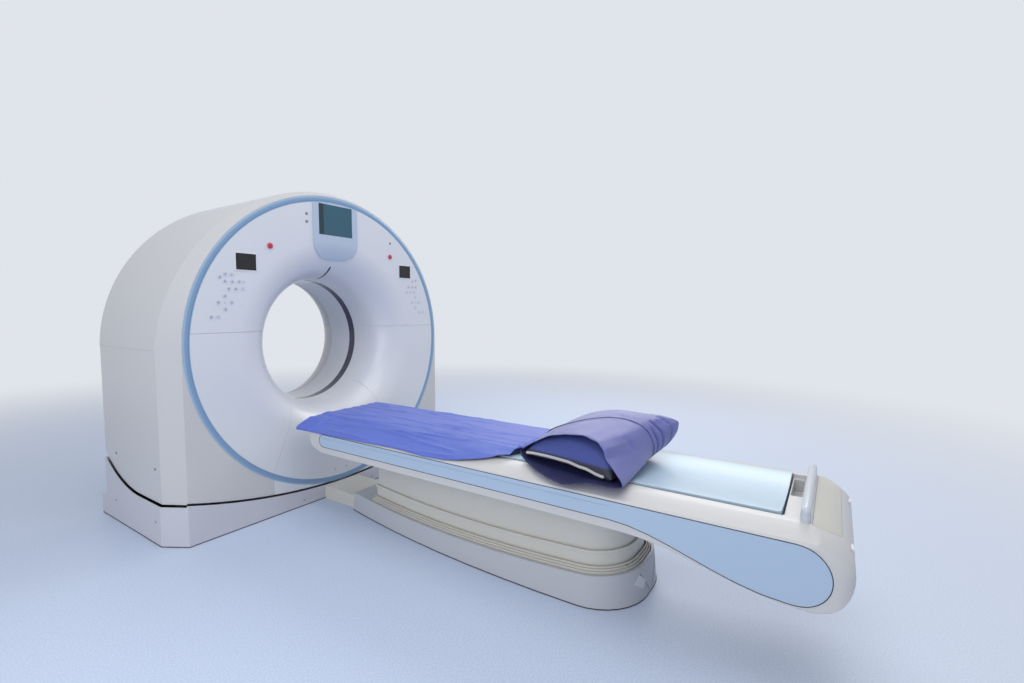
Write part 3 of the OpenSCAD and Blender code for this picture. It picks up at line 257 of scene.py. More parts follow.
# Trim ring
# A steel-blue ring pressed into the joint between the front face and the flanks. The paler bands painted
# along both of its edges are painted highlights, and a thin dark band is painted near its inner edge.
isocentre_z, ring_inner, ring_outer = 0.955, 0.840, 0.872
trim_blue = moulded("trim_blue", (0.17, 0.28, 0.46), 0.32)
tree = trim_blue.node_tree
ring_place = add_node(tree, "ShaderNodeTexCoord").outputs["Object"]
from_bore = add_node(tree, "ShaderNodeVectorMath", {0: ring_place, 1: (1, 0, 1), 2: (0, 0, -isocentre_z)},
                     operation="MULTIPLY_ADD")
ring_radius = add_node(tree, "ShaderNodeVectorMath", {0: from_bore.outputs[0]}, operation="LENGTH")
across_ring = add_node(tree, "ShaderNodeMapRange", {"From Min": ring_inner, "From Max": ring_outer,
                                                    "Value": ring_radius.outputs["Value"]})
ring_blue_and_highlights = add_node(tree, "ShaderNodeValToRGB", {"Fac": across_ring.outputs["Result"]})
ring_highlight_bands = ring_blue_and_highlights.color_ramp
# The pale stops at both ends of this ramp are painted highlights along the ring's edges; the dark stop near
# the inner end is a thin dark band.
ring_highlight_bands.elements[0].color = (0.27, 0.44, 0.62, 1)
ring_highlight_bands.elements[1].color = (0.28, 0.44, 0.62, 1)
for position, shade in ((0.10, (0.27, 0.44, 0.62, 1)), (0.15, (0.10, 0.20, 0.37, 1)),
                        (0.24, (0.20, 0.31, 0.48, 1)), (0.72, (0.21, 0.33, 0.50, 1)),
                        (0.82, (0.28, 0.44, 0.62, 1))):
    ring_highlight_bands.elements.new(position).color = shade
feed(tree.nodes["Principled BSDF"], {"Base Color": ring_blue_and_highlights.outputs["Color"]})
dress(trim_blue, "accent_ring")

# Scan window and laser slit
# Dark film over the gap where the beam passes, and the dark slit of the positioning light.
window_violet = moulded("window_violet", (0.022, 0.02, 0.06), 0.12)
slit_black = moulded("slit_black", (0.008, 0.008, 0.01), 0.15)
dress(window_violet, "scan_window")
dress(slit_black, "laser_window")

# Monitor
# A pale blue surround that follows the front face, with a dark glass screen set into it. The
# screen shows a plain dark side bar and nothing else.
front_face, screen_half = -0.360, 0.117


def between(tree, axis, low, high):
    """0 to 1 between two places along an axis of the part."""
    place = add_node(tree, "ShaderNodeTexCoord").outputs["Object"]
    axes = add_node(tree, "ShaderNodeSeparateXYZ", {0: place})
    return add_node(tree, "ShaderNodeMapRange", {"From Min": low, "From Max": high,
                                                 "Value": axes.outputs[axis]}).outputs["Result"]


bezel_blue = moulded("bezel_blue", (0.44, 0.52, 0.64), 0.30, edge=0.004)
screen_teal = moulded("screen_teal", (0.022, 0.085, 0.12), 0.08, grain=0.0)
tree = screen_teal.node_tree
screen_bands = add_node(tree, "ShaderNodeValToRGB", {"Fac": between(tree, "X", -screen_half, screen_half)})
screen_bands.color_ramp.interpolation = "CONSTANT"
screen_bands.color_ramp.elements[0].color = (0.012, 0.035, 0.05, 1)
screen_bands.color_ramp.elements[1].color = (0.012, 0.05, 0.07, 1)
screen_bands.color_ramp.elements[1].position = 0.975
screen_bands.color_ramp.elements.new(0.13).color = (0.028, 0.10, 0.145, 1)
feed(tree.nodes["Principled BSDF"], {"Base Color": screen_bands.outputs["Color"]})
dress(bezel_blue, "monitor_bezel")
dress(screen_teal, "monitor_screen")

# Side displays
# Black glass in white frames, one on each side of the front face. Both are switched off, with
# the dark segments of their digits hardly showing.
display_frame = moulded("display_frame", (0.72, 0.74, 0.80), 0.3)
dress(display_frame, "side_displays")
display_black = moulded("display_black", (0.006, 0.006, 0.008), 0.08, grain=0.0)
digit_dark = moulded("digit_dark", (0.016, 0.018, 0.020), 0.30)
segments_of = {"0": "abcdef", "3": "abgcd", "4": "fgbc", "8": "abcdefg"}
segment_place = {"a": (0, 1, 1), "g": (0, 0, 1), "d": (0, -1, 1),
                 "f": (-0.5, 0.5, 0), "b": (0.5, 0.5, 0), "e": (-0.5, -0.5, 0), "c": (0.5, -0.5, 0)}
glass_half_x, glass_half_z = 0.0525, 0.0425
digit_near, digit_far = front_face - 0.00255, front_face - 0.00235


def add_plate(bm, low, high):
    """A thin box between two corners, its faces pointing outwards."""
    corners = [bm.verts.new((x, y, z)) for x in (low[0], high[0]) for y in (low[1], high[1])
               for z in (low[2], high[2])]
    for loop in ((0, 1, 3, 2), (4, 6, 7, 5), (0, 4, 5, 1), (2, 3, 7, 6), (0, 2, 6, 4), (1, 5, 7, 3)):
        bm.faces.new([corners[i] for i in loop])


def keep_piece(name, bm, material, body):
    """Turns a mesh under construction into a piece of the object that rides on a body."""
    mesh = bpy.data.meshes.new(name)
    bmesh.ops.recalc_face_normals(bm, faces=bm.faces)
    bm.to_mesh(mesh)
    bm.free()
    mesh.materials.append(material)
    piece = add_object(name, mesh)
    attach(piece, body)
    return piece


glass = bmesh.new()
digits = bmesh.new()
for center_x, center_z in ((-0.556, 1.401), (0.570, 1.416)):
    add_plate(glass, (center_x - glass_half_x, front_face - 0.0024, center_z - glass_half_z),
              (center_x + glass_half_x, front_face - 0.0019, center_z + glass_half_z))
    for row, text in enumerate(("0.0", "384")):
        pen, middle = center_x - 0.030, center_z + 0.019 - row * 0.036
        for letter in text:
            if letter == ".":
                add_plate(digits, (pen - 0.004, digit_near, middle - 0.0095),
                          (pen - 0.002, digit_far, middle - 0.0075))
                pen += 0.004
                continue
            for segment in segments_of[letter]:
                sx, sz, level = segment_place[segment]
                mid_x, mid_z = pen + 0.005 + sx * 0.010, middle + sz * 0.009
                half_x, half_z = (0.0042, 0.0011) if level else (0.0011, 0.0036)
                add_plate(digits, (mid_x - half_x, digit_near, mid_z - half_z),
                          (mid_x + half_x, digit_far, mid_z + half_z))
            pen += 0.018
keep_piece("display_glass", glass, display_black, "gantry")
keep_piece("display_digits", digits, digit_dark, "gantry")

# Keys
# Membrane keys with low raised caps. Each cap carries a small printed arrow, bar or cross.
key_grey = moulded("key_grey", (0.56, 0.58, 0.67), 0.5)
key_print = moulded("key_print", (0.16, 0.20, 0.27), 0.6)
dress(key_grey, "keypads")
key_places = [(-690, 1315), (-663, 1331), (-631, 1331), (-665, 1295), (-630, 1295), (-595, 1296),
              (-648, 1257), (-613, 1258), (-578, 1259), (-668, 1221), (-701, 1188), (-636, 1188),
              (-668, 1154), (-738, 1115), (-705, 1115), (646, 1351), (680, 1360), (607, 1311),
              (645, 1311), (680, 1312)]
symbols = bmesh.new()
print_near, print_far, print_half, stroke_half = front_face - 0.00175, front_face - 0.0014, 0.0045, 0.001
arrow = ((-0.005, -0.0035), (0.005, -0.0035), (0.0, 0.005))
for count, (key_x, key_z) in enumerate(key_places):
    x, z = key_x / 1000, key_z / 1000
    if count % 3 == 2:
        add_plate(symbols, (x - print_half, print_near, z - stroke_half),
                  (x + print_half, print_far, z + stroke_half))
        if count % 2:
            add_plate(symbols, (x - stroke_half, print_near, z - print_half),
                      (x + stroke_half, print_far, z + print_half))
    else:
        outline = [Matrix.Rotation(math.pi / 2 * (count % 4), 2) @ Vector(p) for p in arrow]
        ends = [[symbols.verts.new((x + p.x, depth, z + p.y)) for p in outline]
                for depth in (print_near, print_far)]
        symbols.faces.new(ends[0])
        symbols.faces.new(ends[1][::-1])
        for i in range(3):
            symbols.faces.new((ends[0][i], ends[1][i], ends[1][(i + 1) % 3], ends[0][(i + 1) % 3]))
keep_piece("key_symbols", symbols, key_print, "gantry")

# Lamps
# Smoked lenses of the breathing lamps and of the warning lamp.
lamp_grey = moulded("lamp_grey", (0.24, 0.25, 0.30), 0.2)
dress(lamp_grey, "status_lamps")

# Stop buttons
# Red mushroom caps in pale collars, one on each side of the front face, pressed in by hand.
stop_red = moulded("stop_red", (0.58, 0.02, 0.06), 0.25)
switch_grey = moulded("switch_grey", (0.55, 0.50, 0.55), 0.4)
dress(stop_red, "stop_button_left", "stop_button_right")
dress(switch_grey, "stop_switches")

# Pedestal
# A grey moulded base over the floor plate, with the cream nested covers of the lift above it and
# the cable duct to the gantry, all in the same fine-grained plastic.
pedestal_cream = moulded("pedestal_cream", (0.60, 0.585, 0.53), 0.42, edge=0.002)
base_grey = moulded("base_grey", (0.46, 0.475, 0.51), 0.44, edge=0.004)
dress(base_grey, "pedestal_base")
dress(pedestal_cream, "pedestal_neck", "stage_1", "stage_2", "stage_3", "stage_4", "top_stage")

# Couch
# A white body with flat rails on top and light blue insets let into its sides, closed over its
# round tail by a cream domed cap. A pale tube at the end is the handle.
couch_white = moulded("couch_white", (0.56, 0.56, 0.565), 0.34, edge=0.003)
cap_cream = moulded("cap_cream", (0.54, 0.53, 0.48), 0.30, edge=0.003)
inset_blue = moulded("inset_blue", (0.40, 0.51, 0.66), 0.30, edge=0.001, finish={"Coat Weight": 0.3})
handle_white = moulded("handle_white", (0.52, 0.56, 0.62), 0.22)
dress(couch_white, "couch_frame")
dress(cap_cream, "tail_cap")
dress(inset_blue, "side_inset_left", "side_inset_right")
dress(handle_white, "end_handle")

# The round tail, trimmed to one smooth dome by a form that the frame and the cap are cut with
tail_center, tail_level, tail_radius, couch_half = -2.903, 0.407, 0.1136, 0.3456
dome_steps, corner_steps = 16, 16
dome = bmesh.new()
dome_rings = []
for step in range(dome_steps + 3):
    lift = math.radians(90 * max(0, step - 2) / dome_steps)
    z = (0.10, 0.35)[step] if step < 2 else tail_level + (tail_radius + 0.0006) * math.sin(lift)
    share = math.sin(lift)
    back = tail_center - tail_radius * math.cos(lift)
    deep, wide = 0.050 + 0.040 * share, 0.050 + 0.200 * share ** 2
    half = [(couch_half, -0.30)]
    for corner in range(corner_steps + 1):
        turn = math.pi / 2 * corner / corner_steps
        half.append((couch_half - wide * (1 - math.cos(turn)), back + deep * (1 - math.sin(turn))))
    dome_rings.append([dome.verts.new((x, y, z)) for x, y in half + [(-x, y) for x, y in half[::-1]]])
for ring, above in zip(dome_rings, dome_rings[1:]):
    for k in range(len(ring)):
        dome.faces.new([ring[k - 1], ring[k], above[k], above[k - 1]]).smooth = True
dome.faces.new(dome_rings[0])
dome.faces.new(dome_rings[-1])
bmesh.ops.recalc_face_normals(dome, faces=dome.faces)
dome_mesh = bpy.data.meshes.new("dome_form")
dome.to_mesh(dome_mesh)
dome.free()
dome_form = add_object("dome_form", dome_mesh)
dome_form.hide_render = dome_form.hide_viewport = True
for name in ("couch_frame", "tail_cap"):
    trim = nodes[name].modifiers.new("dome", "BOOLEAN")
    trim.operation = "INTERSECT"
    trim.object = dome_form
    nodes[name].modifiers.new("shading", "NODES").node_group = soft_shading

# Tabletop
# A thin hollowed shell of carbon fibre under a pale blue gloss skin.
tabletop_skin = moulded("tabletop_skin", (0.42, 0.56, 0.68), 0.34, grain=0.01, cloud=0.05,
                        finish={"Coat Weight": 0.15, "Coat Roughness": 0.12})
dress(tabletop_skin, "tabletop")

# Mattress
# A thin foam pad in a dark coated cover, flat above with rounded edges, and hollow-backed to fit
# the tabletop. It lies loose on the tabletop under the sheet.
mattress_half, mattress_front, mattress_back = 0.1985, -0.4945, -1.7885
mattress_top, hollow_radius, hollow_center = 0.5475, 1.3997, 1.9109


def cloth(name, color, sheen_color, roughness, threads=500.0, sheen=0.3):
    """Woven cloth: two sets of threads in the bump, soft shade changes and a sheen."""
    material, tree, shader = new_material(name)
    place = add_node(tree, "ShaderNodeTexCoord").outputs["Object"]
    blotch = add_node(tree, "ShaderNodeTexNoise", {"Scale": 9.0, "Detail": 5.0, "Vector": place})
    warp, weft = [add_node(tree, "ShaderNodeTexWave", {"Scale": threads, "Distortion": 1.5,
                                                       "Detail Scale": 2.0, "Vector": place},
                           bands_direction=direction).outputs["Fac"] for direction in ("X", "Y")]
    woven = add_node(tree, "ShaderNodeMath", {0: warp, 1: weft}, operation="ADD")
    bump = add_node(tree, "ShaderNodeBump", {"Strength": 0.4, "Distance": 0.00025,
                                             "Height": woven.outputs[0]})
    feed(shader, {"Roughness": roughness, "Sheen Weight": sheen, "Sheen Roughness": 0.35,
                  "Sheen Tint": (*sheen_color, 1), "Normal": bump.outputs[0],
                  "Base Color": tinted(tree, color, 0.10, blotch.outputs["Fac"])})
    return material


def smooth_step(low, high, value):
    """0 to 1 between two values, level at both ends."""
    t = min(1.0, max(0.0, (value - low) / (high - low)))
    return t * t * (3 - 2 * t)


pad_rows, pad_columns = 130, 48
pad = bmesh.new()
pad_sides = {}
for row in range(pad_rows + 1):
    y = mattress_front + (mattress_back - mattress_front) * row / pad_rows
    from_end = min(y - mattress_back, mattress_front - y)
    for column in range(pad_columns + 1):
        across = 2 * column / pad_columns - 1
        pull = 0.0025 * math.sin(math.pi * row / pad_rows)
        x = across * (mattress_half - pull)
        from_edge = min(from_end, mattress_half - pull - abs(x))
        droop = 0.006 * (1 - smooth_step(0, 0.012, from_edge))
        swell = 0.0006 * noise.noise(Vector((x * 14, y * 9, 1.0)))
        pad_sides[row, column, 1] = pad.verts.new((x, y, mattress_top - droop + swell))
        floor_z = hollow_center - math.sqrt(hollow_radius ** 2 - x * x)
        pad_sides[row, column, 0] = pad.verts.new((x, y, floor_z + 0.0004))
for row in range(pad_rows):
    for column in range(pad_columns):
        for side in (0, 1):
            corners = [pad_sides[row + i, column + j, side] for i, j in ((0, 0), (0, 1), (1, 1), (1, 0))]
            pad.faces.new(corners)
rim = ([(row, 0) for row in range(pad_rows)] + [(pad_rows, column) for column in range(pad_columns)]
       + [(row, pad_columns) for row in range(pad_rows, 0, -1)]
       + [(0, column) for column in range(pad_columns, 0, -1)])
for here, there in zip(rim, rim[1:] + rim[:1]):
    pad.faces.new((pad_sides[(*here, 0)], pad_sides[(*there, 0)], pad_sides[(*there, 1)],
                   pad_sides[(*here, 1)]))
mattress_cover = cloth("mattress_cover", (0.03, 0.035, 0.10), (0.3, 0.3, 0.4), 0.6, threads=900.0)
mattress_pad = keep_piece("mattress_pad", pad, mattress_cover, "patient_top")
for face in mattress_pad.data.polygons:
    face.use_smooth = True
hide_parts("mattress")

# Sheet
# A cut of thin blue nonwoven cloth laid loose over the mattress and the near rail. It is pulled
# straight along the couch, so its folds run lengthwise, and its front corner stands stiffly out.
sheet_rows, sheet_columns, sheet_front = 200, 100, -0.483
over_mattress = [(0.0, 0.5496), (0.150, 0.5496), (0.192, 0.5494), (0.2035, 0.5476), (0.2115, 0.5425),
                 (0.262, 0.5248), (0.270, 0.5218), (0.337, 0.4976), (0.3445, 0.4925), (0.3486, 0.4845),
                 (0.3492, 0.4400)]
over_tabletop = [(0.0, 0.5278), (0.150, 0.5278), (0.218, 0.5278), (0.2290, 0.5246), (0.262, 0.5222),
                 (0.270, 0.5205), (0.337, 0.4965), (0.3445, 0.4920), (0.3486, 0.4840), (0.3492, 0.4350)]
near_reach = [(-0.483, 0.372), (-0.56, 0.364), (-0.77, 0.360), (-1.00, 0.356), (-1.21, 0.350),
              (-1.40, 0.357), (-1.52, 0.352), (-1.60, 0.334), (-1.68, 0.306), (-1.74, 0.276),
              (-1.785, 0.243), (-1.91, 0.215)]
far_reach = [(-0.483, 0.232), (-0.70, 0.244), (-1.07, 0.262), (-1.40, 0.276), (-1.67, 0.296), (-1.91, 0.286)]
folds = random.Random(11)
creases = [(-0.032, -1.223, -1.437, 0.0040, 0.005), (-0.073, -1.330, -1.430, 0.0040, 0.004),
           (-0.175, -1.430, -1.710, 0.0055, 0.007), (0.038, -1.630, -1.715, 0.0035, 0.004),
           (-0.168, -1.180, -1.480, 0.0050, 0.006), (-0.225, -0.980, -1.430, 0.0060, 0.008),
           (-0.100, -0.560, -1.020, 0.0040, 0.006), (0.080, -0.540, -0.900, 0.0035, 0.006)]
for _ in range(30):
    crease_y = folds.uniform(-1.66, -0.56)
    creases.append((folds.uniform(-0.31, 0.22), crease_y + folds.uniform(0.04, 0.14),
                    crease_y - folds.uniform(0.04, 0.14), folds.uniform(0.0012, 0.0034),
                    folds.uniform(0.003, 0.008)))


def read_table(table, value):
    """The table's second number at a value of its first, which may run either way."""
    for (a, p), (b, q) in zip(table, table[1:]):
        if min(a, b) <= value <= max(a, b):
            return p + (q - p) * (value - a) / (b - a)
    return table[0][1] if abs(value - table[0][0]) < abs(value - table[-1][0]) else table[-1][1]


def along(profile, reach):
    """The point of a profile at a length measured along it."""
    for (a, p), (b, q) in zip(profile, profile[1:]):
        step = math.hypot(b - a, q - p)
        if reach <= step:
            return Vector((a + (b - a) * reach / step, p + (q - p) * reach / step))
        reach -= step
    return Vector(profile[-1])


def fold_height(x, y):
    """How far the cloth stands off what it lies on: soft waves, lengthwise ridges and creases."""
    height = 0.0016 * (1 + noise.noise(Vector((x * 9, y * 2.2, 4.0))))
    ridge = noise.noise(Vector((x * 15 + 0.5 * noise.noise(Vector((x * 3, y * 2, 7.0))), y * 1.5, 9.0)))
    height += 0.0050 * max(0.0, 1 - 5 * abs(ridge)) ** 2
    height += 0.0007 * (1 + noise.noise(Vector((x * 60, y * 11, 2.0))))
    for crease_x, start, end, high, wide in creases:
        if end < y < start:
            run = (y - end) / (start - end)
            off = x - crease_x - 0.012 * (run - 0.5)
            height += high * math.sin(math.pi * run) * math.exp(-(off / wide) ** 2)
    height += 0.012 * math.exp(-((x + 0.245) / 0.055) ** 2 - ((y + 1.63) / 0.10) ** 2)
    height += 0.007 * math.exp(-((y + 0.575 + 0.25 * (x + 0.29)) / 0.012) ** 2) * smooth_step(0.19, 0.27, -x)
    return height


def thicken(piece, thickness, offset):
    """Gives a piece of cloth or a thin plate its thickness."""
    thick = piece.modifiers.new("thickness", "SOLIDIFY")
    thick.thickness, thick.offset = thickness, offset
    return thick


cloth_thickness, cloth_gap, far_share = 0.0011, 0.0004, 0.62
corner_out, corner_up, corner_ahead = 0.016, 0.012, 0.019
sheet_mesh = bmesh.new()
sheet_uv = sheet_mesh.loops.layers.uv.new("cut")
sheet_verts, sheet_cut = [], {}
for row in range(sheet_rows + 1):
    sheet_verts.append([])
    for column in range(sheet_columns + 1):
        across = (1 + far_share) * column / sheet_columns - 1
        back = -1.80 - 0.10 * smooth_step(-0.7, 0.3, across)
        y = sheet_front + (back - sheet_front) * row / sheet_rows
        side = -1 if across < 0 else 1
        reach = (-across * read_table(near_reach, y) if across < 0
                 else across / far_share * read_table(far_reach, y))
        ahead, here, behind = [
            along(over_mattress, reach + d).lerp(along(over_tabletop, reach + d),
                                                 smooth_step(-1.7905, -1.818, y))
            if y < -1.79 else along(over_mattress, reach + d) for d in (0.004, 0.0, -0.004)]
        place = (ahead + here + behind) / 3 if reach > 0.004 else here
        slope = (ahead - behind).normalized()
        outward = Vector((-slope.y, slope.x))
        height = fold_height(side * place.x, y)
        if y < -1.74:
            cross = noise.noise(Vector((place.x * side * 6, y * 26, 5.0)))
            height += 0.004 * max(0.0, 1 - 4 * abs(cross)) ** 2 * smooth_step(-1.74, -1.79, y)
        if reach > 0.335:
            height *= 0.45
        if side < 0:
            height += 0.024 * math.exp(-((reach - 0.285) / 0.045) ** 2) * smooth_step(-0.62, -0.49, y)
        place += outward * (height + cloth_gap)
        corner = smooth_step(-0.585, -0.487, y) * smooth_step(0.27, 0.362, reach) if side < 0 else 0.0
        x = side * (place.x + corner_out * corner)
        z = place.y + corner_up * corner
        sag = smooth_step(-0.53, -0.483, y) * 0.0035 * noise.noise(Vector((x * 7, 3.0, 1.0)))
        vert = sheet_mesh.verts.new((x, y + 2.5 * sag + corner_ahead * corner, z + abs(sag)))
        sheet_verts[-1].append(vert)
        sheet_cut[vert] = (side * reach, y)


def grid_faces(bm, rows):
    """Makes and gives the smooth faces between rows of points."""
    for row, after in zip(rows, rows[1:]):
        for k in range(len(row) - 1):
            quad = bm.faces.new([row[k], after[k], after[k + 1], row[k + 1]])
            quad.smooth = True
            yield quad


for quad in grid_faces(sheet_mesh, sheet_verts):
    for loop in quad.loops:
        loop[sheet_uv].uv = sheet_cut[loop.vert]
sheet_cloth = cloth("sheet_cloth", (0.095, 0.15, 0.54), (0.65, 0.62, 1.0), 0.50)
drawsheet = keep_piece("drawsheet", sheet_mesh, sheet_cloth, "patient_top")
thicken(drawsheet, cloth_thickness, 1.0)
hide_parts("sheet")

# Pillow
# A soft filled pillow in a blue ticking with a pale piped seam, in a satin case that is open at
# the near end. The case's hem stands open over the pillow's end, and its lower lip droops.
pillow_turn, pillow_x, pillow_y, pillow_seat = math.radians(-11), -0.025, -2.12, 0.5275
pillow_half, bore_half, foot_half = 0.262, 0.212, 0.235
swell_cap, swell_steps = 0.010, 20


def on_pillow(x, y, z):
    """A point of the pillow's own frame, which is turned on the couch, in the part's frame."""
    return Vector((pillow_x + x * math.cos(pillow_turn) - y * math.sin(pillow_turn),
                   pillow_y + x * math.sin(pillow_turn) + y * math.cos(pillow_turn), z))


def in_pillow(place):
    """A point's place in the pillow's own frame, seen from above."""
    across, away = place.x - pillow_x, place.y - pillow_y
    return Vector((across * math.cos(pillow_turn) + away * math.sin(pillow_turn),
                   away * math.cos(pillow_turn) - across * math.sin(pillow_turn)))


def inflate(mesh):
    """Swells a closed mesh by cloth simulation, each point by no more than the cap."""
    puffed = add_object("puffed", mesh)
    start = [vert.co.copy() for vert in mesh.vertices]
    blow = puffed.modifiers.new("blow", "CLOTH")
    blow.settings.use_pressure = True
    blow.settings.uniform_pressure_force = 4.0
    blow.settings.effector_weights.gravity = 0.0
    blow.settings.quality = 6
    blow.settings.tension_stiffness = 15.0
    blow.settings.bending_stiffness = 0.4
    blow.collision_settings.use_collision = False
    for step in range(1, swell_steps + 1):
        scene.frame_set(step)
    result = puffed.evaluated_get(bpy.context.evaluated_depsgraph_get()).to_mesh()
    moved = [vert.co.copy() for vert in result.vertices]
    bpy.data.objects.remove(puffed)
    for vert, old, new in zip(mesh.vertices, start, moved):
        step = new - old
        vert.co = old + step * min(1.0, swell_cap / max(step.length, 1e-9))
    scene.frame_set(1)


def baked(thing):
    """The mesh that an object's modifiers make. The object is removed."""
    mesh = bpy.data.meshes.new_from_object(thing.evaluated_get(bpy.context.evaluated_depsgraph_get()))
    bpy.data.objects.remove(thing)
    return mesh


def loaded(mesh, discard=False):
    """A finished mesh as one under construction."""
    bm = bmesh.new()
    bm.from_mesh(mesh)
    if discard:
        bpy.data.meshes.remove(mesh)
    return bm


def slice_at(bm, place, normal, **options):
    """Cuts a mesh along a plane and gives the new points and edges."""
    return bmesh.ops.bisect_plane(bm, geom=bm.verts[:] + bm.edges[:] + bm.faces[:], plane_co=place,
                                  plane_no=normal, **options)["geom_cut"]


pillow_shape = bmesh.new()
pillow_rows, pillow_columns = 48, 40
pillow_verts = {}
for row in range(pillow_rows + 1):
    for column in range(pillow_columns + 1):
        u = math.sin(math.pi / 2 * (2 * row / pillow_rows - 1))
        v = math.sin(math.pi / 2 * (2 * column / pillow_columns - 1))
        x = pillow_half * u * (1 - 0.05 * (1 - v * v))
        y = (foot_half if v < 0 else bore_half) * v * (1 - 0.06 * (1 - u * u))
        lean = (v + 0.15) / (1.15 if v > -0.15 else 0.85)
        rise = max(0.0, 1 - abs(lean) ** (1.5 if lean > 0 else 2.6))
        crown = (max(0.0, 1 - abs(u) ** (3.4 if u > 0 else 2.6)) * rise) ** 0.5
        foot_seam = 0.542 + 0.146 * smooth_step(-0.2, 1, u)
        bore_seam = 0.580 - 0.016 * smooth_step(-0.4, -1, u) + 0.030 * smooth_step(0, 1, u)
        seam = foot_seam + (bore_seam - foot_seam) * smooth_step(-1, 0.1, v)
        for part in (1, 0):
            if part == 0 and (row in (0, pillow_rows) or column in (0, pillow_columns)):
                pillow_verts[row, column, 0] = pillow_verts[row, column, 1]
                continue
            if part:
                z = seam + (0.690 + 0.020 * smooth_step(-0.4, 0.3, u) - seam) * crown
            else:
                z = seam - (seam - 0.536) * crown ** 0.5
            pillow_verts[row, column, part] = pillow_shape.verts.new(on_pillow(x, y, z))
for row in range(pillow_rows):
    for column in range(pillow_columns):
        for part in (1, 0):
            ring = [pillow_verts[row + i, column + j, part] for i, j in ((0, 0), (1, 0), (1, 1), (0, 1))]
            pillow_shape.faces.new(ring if part else ring[::-1])
pillow_mesh = bpy.data.meshes.new("pillow_body")
pillow_shape.to_mesh(pillow_mesh)
pillow_shape.free()
pillow_body = add_object("pillow_body_shape", pillow_mesh)
even = pillow_body.modifiers.new("even", "REMESH")
even.mode = "VOXEL"
even.voxel_size = 0.0075
even_mesh = baked(pillow_body)
inflate(even_mesh)
for vert in even_mesh.vertices:
    vert.co.z = max(vert.co.z, pillow_seat + 0.0045)

case_creases = [((-0.043, -0.112), (-0.106, -0.169), 0.006), ((-0.106, -0.178), (-0.070, -0.212), 0.006),
                ((0.108, -0.168), (0.155, -0.235), 0.014), ((0.086, -0.188), (0.118, -0.240), 0.014),
                ((0.165, -0.160), (0.205, -0.230), 0.009), ((0.120, 0.050), (0.215, 0.110), 0.003)]


def crease_depth(place):
    """How deep the pillow's wrinkles are at a place on its upper side."""
    if place.z < 0.55:
        return 0.0
    spot = in_pillow(place)
    depth = 0.0012 * noise.noise(Vector((spot.x * 22, spot.y * 9, 3.0)))
    for start, end, deep in case_creases:
        line = Vector(end) - Vector(start)
        run = (spot - Vector(start)).dot(line) / line.length_squared
        if 0 < run < 1:
            off = (spot - Vector(start) - line * run).length
            depth += deep * math.sin(math.pi * run) ** 0.6 * math.exp(-(off / 0.0045) ** 2)
    return depth


filling = loaded(even_mesh)
for vert in filling.verts:
    vert.co -= vert.normal * 0.003
for face in filling.faces:
    face.smooth = True
ticking = cloth("ticking", (0.05, 0.075, 0.29), (0.4, 0.4, 1.0), 0.55)
tree = ticking.node_tree
shader = tree.nodes["Principled BSDF"]
ticking_blue = shader.inputs["Base Color"].links[0].from_socket
# The ticking is painted dark below the seam's height: painted shade on the lower end of the filling inside
# the case's mouth.
painted_shade_below_seam = add_node(tree, "ShaderNodeMix", {0: between(tree, "Z", 0.574, 0.584), 6: (0.022, 0.024, 0.04, 1),
                                             7: ticking_blue}, data_type="RGBA")
feed(shader, {"Base Color": painted_shade_below_seam.outputs[2]})
pillow_fill = keep_piece("pillow_fill", filling, ticking, "patient_top")
finer = pillow_fill.modifiers.new("finer", "SUBSURF")
finer.levels = finer.render_levels = 1

# The piped seam round the open end of the filling
seam_steps, piping_radius, piping_sides = 40, 0.0058, 10
seam_line = []
for step in range(seam_steps + 1):
    at = -0.20 + 0.01 * step
    near = [vert.co for vert in even_mesh.vertices if abs(in_pillow(vert.co).y - at) < 0.006]
    seam_line.append(min(near, key=lambda place: in_pillow(place).x).copy())
outward = on_pillow(-1, 0, 0) - on_pillow(0, 0, 0)
piping = bmesh.new()
tube = []
for step, spot in enumerate(seam_line):
    near = seam_line[max(0, step - 2):step + 3]
    spot = sum(near, Vector()) / len(near) + outward * 0.001
    radius = piping_radius if 0 < step < seam_steps else 0.0012
    tube.append([piping.verts.new(spot + radius * (outward * math.cos(turn) + Vector((0, 0, math.sin(turn)))))
                 for turn in [math.tau * k / piping_sides for k in range(piping_sides)]])


def skin(bm, rings):
    """Smooth faces between closed rings of points."""
    for ring, after in zip(rings, rings[1:]):
        for k in range(len(ring)):
            beyond = k + 1 - len(ring)
            bm.faces.new([ring[k], after[k], after[beyond], ring[beyond]]).smooth = True


skin(piping, tube)
piping.faces.new(tube[0])
piping.faces.new(tube[-1][::-1])
piping_white = cloth("piping_white", (0.50, 0.49, 0.50), (1, 1, 1), 0.7)
keep_piece("pillow_piping", piping, piping_white, "patient_top")

